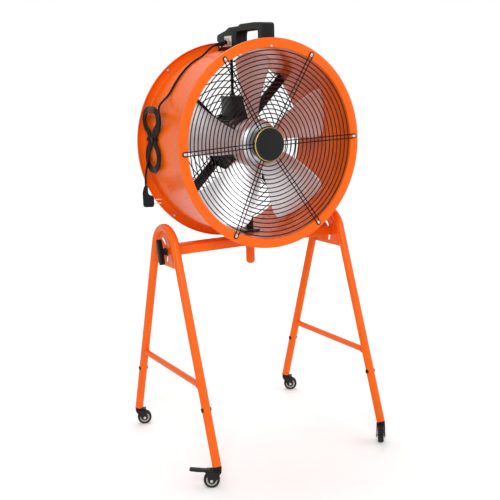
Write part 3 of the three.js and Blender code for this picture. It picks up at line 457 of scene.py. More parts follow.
def finish(
    name, colour, roughness, metallic=0.0, grain=900.0, bump=0.05, mottle=14.0, depth=0.12,
    spread=0.06, dust=0.15, lines=0.0, coat=0.0, brushed=None, shine=0.5,
):
    """A worn surface: mottled colour, dust, hairlines and grain on one Principled shader."""
    made = bpy.data.materials.new(name)
    made.use_nodes = True
    tree = made.node_tree
    texture = effect(tree, "grain", Grain_Scale=grain, Mottle_Scale=mottle)
    tinted = mixed(
        tree, Factor=texture["Mottle"], A=shaded(colour, 1.0 - depth), B=shaded(colour, 1.0 + depth * 0.6)
    )
    if lines:
        marks = combine(tree, "MULTIPLY", effect(tree, "hairlines", Scale=60.0)["Lines"], lines)
        tinted = mixed(tree, Factor=marks, A=tinted, B=shaded(colour, 1.5 if metallic else 0.55))
    settled = effect(tree, "dust", Color=tinted, Amount=dust)
    if brushed is None:
        height = texture["Grain"]
        worn = new_node(
            tree, "MapRange", Value=texture["Mottle"],
            To_Min=max(0.02, roughness - spread), To_Max=min(1.0, roughness + spread),
        )["Result"]
    else:
        centre = (MIDDLE.x, MIDDLE.y, drum().axis_height)
        height = effect(tree, "radial", Fineness=brushed, Centre=centre)["Streaks"]
        worn = combine(tree, "MULTIPLY_ADD", height, 0.22, roughness - 0.1)
    soil = combine(tree, "MULTIPLY", settled["Mask"], 0.5)
    values = {
        "Base Color": settled["Color"],
        "Metallic": metallic,
        "Roughness": combine(tree, "ADD", worn, soil, clamp=True),
        "Specular IOR Level": shine,
        "Coat Weight": coat,
        "Coat Roughness": 0.12,
        "Normal": new_node(tree, "Bump", Strength=bump, Distance=0.0006, Height=height)["Normal"],
    }
    for label, value in values.items():
        feed(tree, tree.nodes["Principled BSDF"].inputs[label], value)
    return made


FINISHES = {}


def get_finish(key):
    if key in FINISHES:
        return FINISHES[key]
    c = colours()
    recipes = {
        "powder coat": dict(
            colour=c.coat, roughness=c.gloss, grain=650, bump=0.10, mottle=9, depth=0.07, spread=0.05,
            dust=0.02, lines=0.08, coat=0.05, shine=0.14,
        ),
        "wire coating": dict(
            colour=c.wire, roughness=0.36, grain=1500, bump=0.12, dust=0.02, shine=0.15,
        ),
        "moulded plastic": dict(
            colour=c.plastic, roughness=0.38, grain=1300, bump=0.30, depth=0.2, dust=0.06, lines=0.08,
            shine=0.12,
        ),
        "soft rubber": dict(
            colour=c.rubber, roughness=0.72, grain=1100, bump=0.35, depth=0.25, dust=0.15, shine=0.12,
        ),
        "cord sheath": dict(
            colour=c.rubber, roughness=0.30, grain=1500, bump=0.15, depth=0.2, dust=0.02, shine=0.12,
        ),
        "bright sheet": dict(
            colour=c.metal, roughness=0.32, metallic=0.65, bump=0.10, depth=0.06, dust=0.04, lines=0.2,
            brushed=55.0,
        ),
        "zinc plate": dict(
            colour=c.zinc, roughness=0.33, metallic=0.92, grain=1400, bump=0.1, mottle=90, depth=0.18,
            dust=0.1,
        ),
        "gold trim": dict(colour=c.gold, roughness=0.28, metallic=0.85, bump=0.05, mottle=60, dust=0.05),
        "motor paint": dict(
            colour=c.casting, roughness=0.42, metallic=0.25, grain=420, bump=0.45, depth=0.25, dust=0.3,
        ),
        "black strip": dict(colour=c.wire, roughness=0.38, grain=600, bump=0.2, dust=0.25, lines=0.15),
        "wheel plastic": dict(colour=c.wheel, roughness=0.5, bump=0.2, dust=0.35, lines=0.1),
        "badge face": dict(
            colour=c.wire, roughness=0.3, grain=1600, bump=0.04, depth=0.1, dust=0.02, coat=0.05, shine=0.2,
        ),
    }
    FINISHES[key] = finish(key.replace(" ", "_"), **recipes[key])
    return FINISHES[key]


class FanOperator:
    """What every building step of the fan shares."""

    bl_options = {"REGISTER", "UNDO"}


# ---------------------------------------------------------------- stage
WHITE = (1, 1, 1, 1)
# The view: the camera's turn about the object and about its own axis, in degrees, how far it stands
# from its target, in metres, and its focal length as a number of pixels of a picture's width.
AZIMUTH, ELEVATION, ROLL = -29.9, 11.07, -1.63
DISTANCE = 2.9166
FOCAL_PIXELS, PICTURE_WIDTH = 860.8, 500


class FAN_OT_stage(FanOperator, bpy.types.Operator):
    """Add the pale floor, the soft studio lights and the camera"""

    bl_idname = "fan.stage"
    bl_label = "Stage"

    def execute(self, context):
        floor = bmesh.new()
        bmesh.ops.create_grid(floor, x_segments=4, y_segments=4, size=30.0)
        mesh = bpy.data.meshes.new("studio_floor")
        floor.to_mesh(mesh)
        floor.free()
        mesh.materials.append(self.floor_material())
        ground = bpy.data.objects.new("studio_floor", mesh)
        context.scene.collection.objects.link(ground)
        self.world(context.scene)
        self.lamp(context, "key", (-2.3, -3.7, 3.4), 2.2, 105)
        self.lamp(context, "fill", (3.6, -2.4, 2.2), 2.8, 30)
        self.lamp(context, "top", (0.4, 1.6, 4.2), 2.4, 45)
        self.camera(context)
        context.scene.view_settings.view_transform = "Standard"
        return {"FINISHED"}

    def floor_material(self):
        made = bpy.data.materials.new("studio_floor")
        made.use_nodes = True
        tree = made.node_tree
        place = object_place(tree)
        speckle = new_node(tree, "TexNoise", Vector=place, Scale=3.0)
        away = new_node(tree, "VectorMath", {"operation": "LENGTH"}, Vector=place)
        paler = new_node(
            tree, "MapRange", Value=away["Value"], From_Min=0.7, From_Max=3.5, To_Min=0.10, To_Max=0.42
        )
        values = {
            "Base Color": mixed(tree, Factor=speckle["Fac"], A=(0.97, 0.97, 0.97, 1), B=WHITE),
            "Roughness": 0.95,
            "Specular IOR Level": 0.0,
            "Emission Color": WHITE,
            "Emission Strength": combine(tree, "MULTIPLY", self.seen_rays(tree), paler["Result"]),
        }
        for label, value in values.items():
            feed(tree, tree.nodes["Principled BSDF"].inputs[label], value)
        return made

    def seen_rays(self, tree):
        """One for what the camera sees, itself, in a mirror or through glass, and nought for light."""
        rays = new_node(tree, "LightPath")
        direct = combine(tree, "MAXIMUM", rays["Is Camera Ray"], rays["Is Glossy Ray"])
        return combine(tree, "MAXIMUM", direct, rays["Is Transmission Ray"])

    def world(self, scene):
        scene.world = bpy.data.worlds.new("studio")
        scene.world.use_nodes = True
        tree = scene.world.node_tree
        tree.nodes.clear()
        mix = tree.nodes.new("ShaderNodeMixShader")
        feed(tree, mix.inputs[0], self.seen_rays(tree))
        for socket, strength in zip(mix.inputs[1:], (0.60, 1.0)):
            feed(tree, socket, new_node(tree, "Background", Color=WHITE, Strength=strength)[0])
        new_node(tree, "OutputWorld", Surface=mix.outputs[0])

    def lamp(self, context, name, place, size, watts):
        data = bpy.data.lights.new(name, "AREA")
        data.size = size
        data.energy = watts
        lamp = bpy.data.objects.new(name, data)
        lamp.location = place
        lamp.rotation_euler = (Vector((0, 0, 0.8)) - Vector(place)).to_track_quat("-Z", "Y").to_euler()
        context.scene.collection.objects.link(lamp)

    def camera(self, context):
        azimuth, elevation, roll = (math.radians(turn) for turn in (AZIMUTH, ELEVATION, ROLL))
        back = Vector((
            math.sin(azimuth) * math.cos(elevation),
            -math.cos(azimuth) * math.cos(elevation),
            math.sin(elevation),
        ))
        level = Vector((math.cos(azimuth), math.sin(azimuth), 0))
        upright = back.cross(level)
        right = math.cos(roll) * level + math.sin(roll) * upright
        up = back.cross(right)
        target = MIDDLE + Vector((-0.0057, 0, 0.6537))
        spot = target + back * DISTANCE
        data = bpy.data.cameras.new("camera")
        data.sensor_width = 36
        data.sensor_fit = "HORIZONTAL"
        data.lens = data.sensor_width * FOCAL_PIXELS / PICTURE_WIDTH
        data.clip_end = 200
        camera = bpy.data.objects.new("camera", data)
        turn = Matrix((right, up, back)).transposed().to_4x4()
        camera.matrix_world = Matrix.Translation(spot) @ turn
        context.scene.collection.objects.link(camera)
        context.scene.camera = camera


# ---------------------------------------------------------------- mains cord
RELIEF_DIRECTION = Vector((-math.cos(math.radians(14)), 0, -math.sin(math.radians(14))))
RELIEF_START = Vector((-23.6, 80, 1345))
RELIEF_LENGTH = 48
# The hank's innermost turn has a straight stretch, two corners and hollow sides; the others lie round it.
HANK = dict(
    x=-308.5, y=83, z=1040, half_height=84.5, waist=4, hollow=47, upper_flat=20, lower_flat=2, pitch=7.9,
    entry=0.2, half_turns=6.31, layer=7.6,
)
PLUG = Vector((HANK["x"] - HANK["layer"], 136, 846))
PLUG_NECK = 40


def bent(start, leaves, end, arrives, arm, steps):
    """Points on a smooth bend that leaves and arrives along given directions."""
    near_start, near_end = start + leaves * arm, end - arrives * arm
    points = []
    for i in range(steps + 1):
        t = i / steps
        points.append(
            start * (1 - t) ** 3 + near_start * (3 * t * (1 - t) ** 2)
            + near_end * (3 * t * t * (1 - t)) + end * t ** 3
        )
    return points


def smooth_through(points, spacing):
    """Evenly spaced points on a centripetal curve through chosen points."""
    ends = [points[0] * 2 - points[1], *points, points[-1] * 2 - points[-2]]
    fine = []
    for p0, p1, p2, p3 in zip(ends, ends[1:], ends[2:], ends[3:]):
        t1 = max((p1 - p0).length, 1e-6) ** 0.5
        t2 = t1 + max((p2 - p1).length, 1e-6) ** 0.5
        t3 = t2 + max((p3 - p2).length, 1e-6) ** 0.5
        for i in range(20):
            t = t1 + (t2 - t1) * i / 20
            a = p0.lerp(p1, t / t1)
            b = p1.lerp(p2, (t - t1) / (t2 - t1))
            c = p2.lerp(p3, (t - t2) / (t3 - t2))
            d = a.lerp(b, t / t2)
            e = b.lerp(c, (t - t1) / (t3 - t1))
            fine.append(d.lerp(e, (t - t1) / (t2 - t1)))
    fine.append(points[-1])
    run = [0.0]
    for a, b in zip(fine, fine[1:]):
        run.append(run[-1] + (b - a).length)
    count = max(2, round(run[-1] / spacing))
    even, k = [], 0
    for i in range(count + 1):
        goal = run[-1] * i / count
        while k < len(run) - 2 and run[k + 1] < goal:
            k += 1
        share = (goal - run[k]) / max(run[k + 1] - run[k], 1e-9)
        even.append(fine[k].lerp(fine[k + 1], min(1.0, max(0.0, share))))
    return even


def hank_quarter(flat, share, outside):
    """A point of one quarter, from the middle of an end to the waist, some way outside the inner turn."""
    height, hollow, waist = HANK["half_height"], HANK["hollow"], HANK["waist"]
    across = waist + hollow - flat
    corner = (across ** 2 + height ** 2 - hollow ** 2) / (2 * (height + hollow))
    centre = height - corner
    turn = math.atan2(centre, across)
    middle = 1.5 * HANK["pitch"]
    corner_run = (corner + middle) * (math.pi / 2 + turn)
    run = share * (flat + corner_run + (hollow - middle) * turn)
    if run < flat:
        return run, height + outside
    if run < flat + corner_run:
        angle = math.pi / 2 - (run - flat) / (corner + middle)
        return flat + (corner + outside) * math.cos(angle), centre + (corner + outside) * math.sin(angle)
    angle = math.pi - turn + (run - flat - corner_run) / (hollow - middle)
    return waist + hollow + (hollow - outside) * math.cos(angle), (hollow - outside) * math.sin(angle)


def hank_point(u):
    turns = (u + HANK["entry"]) / 2
    last = (HANK["half_turns"] + HANK["entry"]) / 2
    quarter = math.floor(4 * turns)
    place = 4 * turns - quarter
    above = quarter % 4 in (0, 3)
    flat = HANK["upper_flat"] if above else HANK["lower_flat"]
    y, z = hank_quarter(flat, place if quarter % 2 == 0 else 1 - place, HANK["pitch"] * (last - turns))
    return Vector((HANK["x"], HANK["y"] + (-y if quarter % 4 < 2 else y), HANK["z"] + (z if above else -z)))


def ease(t):
    return t * t * (3 - 2 * t)


def over_shell(degrees, y):
    reach = mm(drum().bore_radius + drum().wall) + 4.5
    angle = math.radians(degrees)
    return Vector((-reach * math.cos(angle), y, mm(drum().axis_height) + reach * math.sin(angle)))


def along_shell(degrees):
    return Vector((-math.sin(math.radians(degrees)), 0, -math.cos(math.radians(degrees))))


def cord_route():
    """The cord's centre line from the strain relief to the plug's neck."""
    exit_point = RELIEF_START + RELIEF_DIRECTION * (RELIEF_LENGTH - 1)
    steps = 36
    loops = [hank_point(i / steps) for i in range(round(HANK["half_turns"] * steps) + 1)]
    into = (loops[1] - loops[0]).normalized()
    start = loops[0] - into * 7
    over = [
        over_shell(66, 84), over_shell(60, 80), over_shell(52, 69), over_shell(45, 58),
        over_shell(39, 51), over_shell(34, 48),
    ]
    route = bent(exit_point, RELIEF_DIRECTION, over[0], along_shell(66), 24, 10)
    route += smooth_through(over, 8)[1:-1]
    route += bent(over[-1], along_shell(34), start, into, 32, 16)
    route += loops[1:]
    leaves = loops[-1]
    neck = PLUG.z + PLUG_NECK
    drop = leaves.z - neck - 14.3
    for i in range(1, 37):
        t = i / 36
        route.append(Vector((
            leaves.x - HANK["layer"] * ease(min(1, 3 * t)),
            leaves.y + (PLUG.y - leaves.y) * ease(t),
            leaves.z - drop * t,
        )))
    route.append(Vector((PLUG.x, PLUG.y, neck - 3)))
    return route


class FAN_OT_cord(FanOperator, bpy.types.Operator):
    """Hang the mains cord in its tied hank on the drum's side, with its plug"""

    bl_idname = "fan.cord"
    bl_label = "Mains cord"

    def execute(self, context):
        radius = mm(context.scene.fan_cord.radius)
        route = cord_route()
        cord = piece(
            "mains_cord", [swept(route, radius, 14)], "head", "cord sheath", ["cord_run", "cord_hank"]
        )
        plug = self.plug()
        self.tie()
        return {"FINISHED"}

    def plug(self):
        turn = Matrix.Translation(PLUG) @ Matrix.Rotation(math.radians(-30), 4, "Z")
        outline = [
            (-11, -22), (-10, -26), (-5, -30), (21, -30), (24, -27), (24, 0), (20, 6), (11, 8), (6.5, 13),
            (5.4, 22), (5.4, 36), (4.4, 40), (-4.6, 40), (-6, 36), (-8.6, 28), (-11, 18),
        ]
        body = slab(outline, 22, ACROSS_Y @ at(0, 0, -11), soft=3.0, segments=3)
        shells = [placed(body, turn)]
        for i in range(5):
            z, reach = 18 + i * 4, 7.4 - i * 0.3
            rib = turned([(0, z), (reach, z), (reach, z + 1.6), (0, z + 1.6)], (-0.5, 0, 0), UP, 20)
            shells.append(placed(rib, turn))
        for z in (-24, -20, -16):
            shells.append(placed(rounded_box((27, 22.8, 1.4), (7, 0, z + 6), 0.4), turn))
        made = piece("angled_plug", shells, "head", "moulded plastic", ["mains_plug"])
        pins = [
            placed(rounded_box((27, 6.3, 2.0), (35.5, 0, z - 12), 0.5), turn) for z in (-6.35, 6.35)
        ]
        return [made, piece("plug_pins", pins, "head", "zinc plate")]

    def tie(self):
        x, y, z = HANK["x"], HANK["y"], HANK["z"]
        wide = HANK["waist"] + HANK["pitch"] * (HANK["half_turns"] + HANK["entry"]) / 2 + 4.5

        def oval(half, reach):
            """Points of a long outline with round ends, sorted by their direction from its middle."""
            points = []
            for quarter in range(4):
                end = half - reach if quarter < 2 else reach - half
                for i in range(7):
                    angle = math.radians((270 + 90 * quarter) % 360 + 15 * i)
                    points.append((x + reach * math.sin(angle), y + end + reach * math.cos(angle)))
            return sorted(points, key=lambda point: math.atan2((point[1] - y) * 0.2, point[0] - x))

        strap = slab(oval(wide + 1.4, 5.7), 12, at(0, 0, z - 6), [oval(wide, 4.3)], soft=0.3)
        foot = rounded_box((4.5, 30, 11), (-304.2, y, z), 0.8)
        buckle = rounded_box((3.4, 13, 14.5), (x - 5.4, y - 12, z), 0.9)
        piece("cord_strap", [strap, foot, buckle], "head", "moulded plastic", ["cord_tie"])


# ---------------------------------------------------------------- stand
# The guide pin's angle on the slot with the drum level, and how far the drum tilts down and up.
PIN_REST, TILT_DOWN, TILT_UP = 13, 25, 45


def frame_numbers():
    """Where the straight legs meet the bend, and how far they lean."""
    s = stand()
    foot_y, foot_z = mm(s.foot_half), mm(s.foot_height)
    arch_z, arch = mm(s.arch_height), mm(s.arch_radius)
    reach = math.hypot(foot_y, arch_z - foot_z)
    meets = math.atan2(foot_z - arch_z, foot_y) + math.acos(arch / reach)
    lean = math.atan2(foot_y - arch * math.cos(meets), arch_z + arch * math.sin(meets) - foot_z)
    return meets, lean


def leg_y(z):
    return mm(stand().foot_half) - (z - mm(stand().foot_height)) * math.tan(frame_numbers()[1])


class FAN_OT_side_frames(FanOperator, bpy.types.Operator):
    """Bend the two side frames and weld in their braces and slotted plates"""

    bl_idname = "fan.side_frames"
    bl_label = "Side frames"

    def execute(self, context):
        s = stand()
        tube, arch, arch_z = mm(s.tube_radius), mm(s.arch_radius), mm(s.arch_height)
        meets, lean = frame_numbers()
        for side, sign in (("left", -1), ("right", 1)):
            x = sign * mm(s.frame_middle)
            path = [(x, -mm(s.foot_half), mm(s.foot_height))]
            for i in range(33):
                angle = math.pi - meets + (2 * meets - math.pi) * i / 32
                path.append((x, arch * math.cos(angle), arch_z + arch * math.sin(angle)))
            path.append((x, mm(s.foot_half), mm(s.foot_height)))
            piece(
                f"{side}_bent_tube", [swept(path, tube, 36)], "stand", "powder coat", [f"{side}_frame_tube"]
            )
            self.brace(side, x, mm(s.brace_height), tube)
            self.plate(side, x, arch, arch_z, tube, meets, lean)
            self.plugs(side, x, mm(s.plug_height), tube)
        return {"FINISHED"}

    def brace(self, side, x, z, tube):
        end = leg_y(z) - 4
        shells = [rod((x, -end, z), (x, end, z), 10, 32)]
        for front in (-1, 1):
            face = end - tube + 3.0
            bead = [
                (9.6, -3.0), (11.2, -2.4), (12.2, -0.6), (13.4, 1.6), (13.0, 3.2), (9.6, 3.4), (9.6, -3.0),
            ]
            shells.append(turned(bead, (x, front * face, z), (0, front, 0), 40))
        piece(f"{side}_cross_brace", shells, "stand", "powder coat", [f"{side}_brace"])

    def plate(self, side, x, arch, arch_z, tube, meets, lean):
        s = stand()
        reach = arch - tube + 1.5
        low = leg_y(640) - tube / math.cos(lean) + 1.5
        outline = [(-low, 640), (low, 640)]
        for i in range(33):
            angle = meets + (math.pi - 2 * meets) * i / 32
            outline.append((reach * math.cos(angle), arch_z + reach * math.sin(angle)))
        pivot = (mm(s.pivot_depth), mm(s.pivot_height))
        first, last = math.radians(PIN_REST - TILT_DOWN) - 0.12, math.radians(PIN_REST + TILT_UP) + 0.12
        radius = mm(s.slot_radius)
        centres = [first + (last - first) * i / 24 for i in range(25)]
        slot = [self.on_slot(pivot, radius + 5.5, angle) for angle in centres]
        slot += self.slot_end(pivot, radius, last, 1)
        slot += [self.on_slot(pivot, radius - 5.5, angle) for angle in reversed(centres)]
        slot += self.slot_end(pivot, radius, first, -1)
        sheet = slab(outline, 3, ACROSS_X, [slot, circle(5.5, 28, *pivot)], soft=0.35)
        placed(sheet, at(x - 1.5, 0, 0))
        seam = []
        for i in range(41):
            angle = meets + (math.pi - 2 * meets) * (0.02 + 0.96 * i / 40)
            inside = arch - tube + 0.4 + 0.4 * math.sin(i * 2.2)
            seam.append((x, inside * math.cos(angle), arch_z + inside * math.sin(angle)))
        shells = [sheet, swept(seam, 2.6, 10)]
        piece(f"{side}_pivot_plate", shells, "stand", "powder coat", [f"{side}_slot_plate"])

    def on_slot(self, pivot, radius, angle):
        return pivot[0] - radius * math.cos(angle), pivot[1] + radius * math.sin(angle)

    def slot_end(self, pivot, radius, angle, way):
        """The round end of the slot, from its outer side at the upper end, from its inner at the lower."""
        u, v = self.on_slot(pivot, radius, angle)
        out = math.atan2(math.sin(angle), -math.cos(angle))
        start = out if way > 0 else out + math.pi
        return [
            (u + 5.5 * math.cos(start - math.pi * i / 8), v + 5.5 * math.sin(start - math.pi * i / 8))
            for i in range(1, 8)
        ]

    def plugs(self, side, x, z, tube):
        for end, front in (("front", -1), ("rear", 1)):
            y = front * leg_y(z)
            dome = [
                (0, -tube - 1.6), (5.4, -tube - 1.5), (7.4, -tube - 0.8), (7.8, -tube + 0.6),
                (6.6, -tube + 1.4),
            ]
            shell = turned(both_ways(dome), (x, y, z), (1, 0, 0), 32)
            piece(f"{side}_{end}_hole_plug", [shell], "stand", "moulded plastic", [f"{side}_{end}_leg_plug"])


TRAIL, WHEEL_RADIUS = 17, 25
# Where each caster stands across and along the stand, its heading in degrees, and whether it brakes.
CASTERS = {
    "front_left": (-1, -1, 150, True),
    "front_right": (1, -1, -128, True),
    "rear_left": (-1, 1, -20, False),
    "rear_right": (1, 1, -32, False),
}


class FAN_OT_casters(FanOperator, bpy.types.Operator):
    """Put a swivel caster under each leg; the front two have a brake pedal"""

    bl_idname = "fan.casters"
    bl_label = "Casters"

    def execute(self, context):
        s = stand()
        for name, (across, along, heading, braked) in CASTERS.items():
            foot = at(across * mm(s.frame_middle), along * mm(s.foot_half), 0)
            place = foot @ Matrix.Rotation(math.radians(heading), 4, "Z")
            self.socket(name, foot, along)
            self.fork(name, place, braked)
            self.wheel(name, place)
            if braked:
                self.pedal(name, place)
        return {"FINISHED"}

    def socket(self, name, foot, along):
        lean = frame_numbers()[1]
        top = mm(stand().foot_height) - 4.6
        collar = turned(
            [(0, 58.8), (12.6, 58.8), (14, 59.4), (14, top - 0.6), (13, top), (0, top)], ORIGIN, UP, 40
        )
        up = Vector((0, -along * math.sin(lean), math.cos(lean)))
        centre = Vector((0, 0, mm(stand().foot_height)))
        sleeve = turned(
            [(0, -5), (12.9, -5), (13.8, -3.6), (13.8, 4), (12.9, 5.4), (0, 5.4)], centre - up * 2, up, 40
        )
        shells = [placed(collar, foot), placed(sleeve, foot)]
        piece(f"{name}_tube_socket", shells, "stand", "moulded plastic", [f"{name}_caster_socket"])

    def fork(self, name, place, braked):
        tail = 31 if braked else 24
        outline = [
            (-12, 57), (-14, 54), (-13.5, 51), (5, 23), (8, 18.5), (12, 16.4), (17, 15.6), (22, 16.4),
            (26, 19.5), (28, 25), (tail, 50), (tail, 57),
        ]
        shells = []
        for y in (-14.6, 11.6):
            cheek = slab(outline, 3, ACROSS_Y @ at(0, 0, -y - 3), soft=0.8)
            shells.append(placed(cheek, place))
        end = 16.5 if braked else 22
        crown = rounded_box((end + 14, 29.2, 5.5), ((end - 14) / 2, 0, 54.25), 1.6)
        shells.append(placed(crown, place))
        race = turned(
            [(0, 55), (12, 55), (13, 56.2), (12.4, 57.4), (11, 58.4), (0, 58.4)], ORIGIN, UP, 36
        )
        shells.append(placed(race, place))
        piece(f"{name}_fork_shell", shells, f"{name}_swivel", "moulded plastic", [f"{name}_caster_fork"])
        axle = [hex_head((TRAIL, y * 14.4, WHEEL_RADIUS), (0, y, 0), 9.0, 2.2) for y in (-1, 1)]
        axle.append(rod((TRAIL, -14.5, WHEEL_RADIUS), (TRAIL, 14.5, WHEEL_RADIUS), 2.9, 20))
        piece(f"{name}_axle", [placed(shell, place) for shell in axle], f"{name}_swivel", "zinc plate")

    def wheel(self, name, place):
        centre = (TRAIL, 0, WHEEL_RADIUS)
        rim = both_ways([
            (3.6, -9.4), (5.6, -9.4), (6.4, -8.6), (6.6, -5.0), (8.0, -4.0), (12.4, -4.0), (13.6, -5.2),
            (14.2, -8.2), (15.4, -9.0), (16.8, -8.6),
        ])
        shells = [placed(turned([*rim, rim[0]], centre, BACK, 48), place)]
        for i in range(5):
            angle = math.tau * i / 5
            across, high = 10.2 * math.cos(angle), 10.2 * math.sin(angle)
            for y in (-1, 1):
                spot = Vector((TRAIL + across, y * 5.4, WHEEL_RADIUS + high))
                turn = Matrix.Rotation(-angle, 4, "Y")
                shells.append(placed(rounded_box((7.4, 3.2, 2.2), spot, 0.6, turn), place))
        piece(f"{name}_wheel_hub", shells, f"{name}_wheel", "wheel plastic", [f"{name}_wheel_rim"])
        tread = both_ways([
            (16.6, -8.4), (18.4, -9.3), (21.6, -9.7), (23.6, -9.0), (24.7, -7.2), (WHEEL_RADIUS, -4.6),
            (WHEEL_RADIUS, -0.7), (24.4, -0.35),
        ])
        tyre = placed(turned([*tread, tread[0]], centre, BACK, 64), place)
        piece(f"{name}_tyre_ring", [tyre], f"{name}_wheel", "soft rubber", [f"{name}_wheel_tyre"])

    def pedal(self, name, place):
        outline = [
            (19, 52.6), (28, 52.6), (30, 49.6), (35, 49.6), (37, 52.6), (60, 54), (78, 57), (84, 58.4),
            (84, 61.4), (80, 62), (62, 60), (44, 58), (20, 57.4),
        ]
        lever = slab(outline, 22.6, ACROSS_Y @ at(0, 0, -11.3), soft=1.0)
        shells = [placed(lever, place)]
        for i in range(6):
            u = 48 + i * 6
            rib = rounded_box((2.2, 19, 2.0), (u, 0, 59.1 + (u - 48) * 0.098), 0.7)
            shells.append(placed(rib, place))
        pivot = rod((24, -11.4, 55), (24, 11.4, 55), 2.2, 16)
        shells.append(placed(pivot, place))
        piece(f"{name}_foot_pedal", shells, f"{name}_pedal", "moulded plastic", [f"{name}_brake_pedal"])


def pin_place():
    """Where the guide pins stand with the drum level: how far back and how high."""
    s = stand()
    rest = math.radians(PIN_REST)
    reach = mm(s.slot_radius)
    return mm(s.pivot_depth) - reach * math.cos(rest), mm(s.pivot_height) + reach * math.sin(rest)


class FAN_OT_crossbar(FanOperator, bpy.types.Operator):
    """Make the crossbar with its end plates, guide pins and pivot bolts"""

    bl_idname = "fan.crossbar"
    bl_label = "Crossbar"

    def execute(self, context):
        s = stand()
        y, z = mm(s.bar_depth), mm(s.bar_height)
        pivot = Vector((0, mm(s.pivot_depth), mm(s.pivot_height)))
        shells = [rounded_box((621, 60, 30), (0, y, z), 3.2, segments=4)]
        outline = [(y - 30, z - 15)]
        outline += [
            (pivot.y + 14 * math.cos(math.radians(turn)), pivot.z + 14 * math.sin(math.radians(turn)))
            for turn in range(-90, 61, 10)
        ]
        outline += [(y + 30, z + 15), (y - 30, z + 15)]
        pin = pin_place()
        for sign in (-1, 1):
            x = 310 if sign > 0 else -314
            shells.append(slab(outline, 4, at(x, 0, 0) @ ACROSS_X, soft=0.8))
            shells.append(rod((sign * 309, *pin), (sign * 319.5, *pin), 5, 24))
            weld = [(-28, -14.6), (28, -14.6), (28, 14.6), (-28, 14.6), (-28, -14.6)]
            for (a, b), (c, d) in zip(weld, weld[1:]):
                shells.append(rod((sign * 309.6, y + a, z + b), (sign * 309.6, y + c, z + d), 2.0, 10))
        collar = [
            (15.3, -22), (18.2, -22), (19.3, -20.8), (19.3, -15), (20.6, -14), (20.6, 14), (19.6, 15.4),
            (15.3, 15.4), (15.3, -22),
        ]
        shells.append(turned(collar, (0, y, z), UP, 48))
        piece("cross_beam", shells, "crossbar", "powder coat", ["crossbar"])
        self.bolts(pivot.y, pivot.z)
        return {"FINISHED"}

    def bolts(self, y, z):
        for side, sign in (("left", -1), ("right", 1)):
            face = mm(stand().frame_middle) + 1.8
            shells = [rod((sign * 302.2, y, z), (sign * (face + 5), y, z), 5, 24)]
            washer = [(0, 0), (9.6, 0), (10, 0.5), (10, 1.5), (9.6, 2), (0, 2)]
            shells.append(turned(washer, (sign * face, y, z), (sign, 0, 0), 36))
            shells.append(hex_head((sign * (face + 1.8), y, z), (sign, 0, 0), 13, 4.8))
            piece(f"{side}_tilt_bolt", shells, "stand", "black strip", [f"{side}_pivot_bolt"])


class FAN_OT_lock_knob(FanOperator, bpy.types.Operator):
    """Make the T-shaped knob that clamps the tilt"""

    bl_idname = "fan.lock_knob"
    bl_label = "Lock knob"

    def execute(self, context):
        y, z = pin_place()
        start = 319.8
        lean = at(0, y, z) @ Matrix.Rotation(math.radians(-14), 4, "X")
        stem = [
            (0, 0), (10.2, 0), (11.0, 0.6), (12, 3.4), (11.8, 4.6), (11.0, 5.4), (10.4, 9),
            (10.2, 13), (0, 13),
        ]
        shells = [turned(stem, (-start, 0, 0), (-1, 0, 0), 40)]
        for i in range(12):
            angle = math.tau * i / 12
            spot = Vector((-start - 2.6, 11.2 * math.cos(angle), 11.2 * math.sin(angle)))
            shells.append(rounded_box((4.0, 1.8, 2.0), spot, 0.6, Matrix.Rotation(angle, 4, "X")))
        outline = [
            (-10.0, 0), (-9, -14), (-7.2, -34), (-6, -39), (-3.4, -41), (3.4, -41), (6, -39), (7.2, -34),
            (9, -14), (10.0, 0), (9, 14), (7.2, 34), (6, 39), (3.4, 41), (-3.4, 41), (-6, 39),
            (-7.2, 34), (-9, 14),
        ]
        shells.append(slab(outline, 16, at(-start - 28, 0, 0) @ ACROSS_X, soft=3.6, segments=4))
        cap = [(0, 27.4), (8.2, 27.4), (8.8, 27.8), (8.4, 28.3), (0, 28.4)]
        shells.append(turned(cap, (-start, 0, 0), (-1, 0, 0), 36))
        shells = [placed(shell, lean) for shell in shells]
        piece("tee_knob", shells, "lock_knob", "moulded plastic", ["tilt_lock_knob"])
        return {"FINISHED"}


class FAN_OT_swivel_post(FanOperator, bpy.types.Operator):
    """Make the swivel post and the saddle under the drum"""

    bl_idname = "fan.swivel_post"
    bl_label = "Swivel post"

    def execute(self, context):
        d = drum()
        axis_z = mm(d.axis_height)
        outside = mm(d.bore_radius + d.wall) + 0.2
        y = mm(stand().bar_depth)
        bottom = mm(stand().bar_height) + 15.5
        shank = [
            (0, 607), (6, 607.4), (11, 609.4), (13.8, 612.6), (15, 618), (15, bottom - 1), (19, bottom),
            (19, bottom + 4), (0, bottom + 4),
        ]
        shells = [turned(shank, (0, y, 0), UP, 48)]
        outline = [(-60, bottom), (60, bottom)]
        for i in range(17):
            x = 60 - 120 * i / 16
            outline.append((x, axis_z - math.sqrt(outside ** 2 - x * x)))
        shells.append(slab(outline, 90, ACROSS_Y @ at(0, 0, -45 - y), soft=0.8))
        for x in (-60, 60):
            z = axis_z - math.sqrt(outside ** 2 - x * x) - 0.6
            shells.append(rod((x, y - 44, z), (x, y + 44, z), 2.4, 10))
        piece("post_and_saddle", shells, "head", "powder coat", ["swivel_post"])
        return {"FINISHED"}


# ---------------------------------------------------------------- drum
# Where each guard's double spokes stand, in degrees, and the radius of the screws that hold them.
FRONT_SPOKES = [2 + 60 * k for k in range(6)]
REAR_SPOKES = [45 + 90 * k for k in range(4)]
SCREW_CIRCLE = 313


def rim_screws(y, degrees, outward):
    z = mm(drum().axis_height)
    shells = []
    for angle in degrees:
        turn = math.radians(angle)
        shells += screw(
            (SCREW_CIRCLE * math.cos(turn), y, z + SCREW_CIRCLE * math.sin(turn)), (0, outward, 0)
        )
    return shells


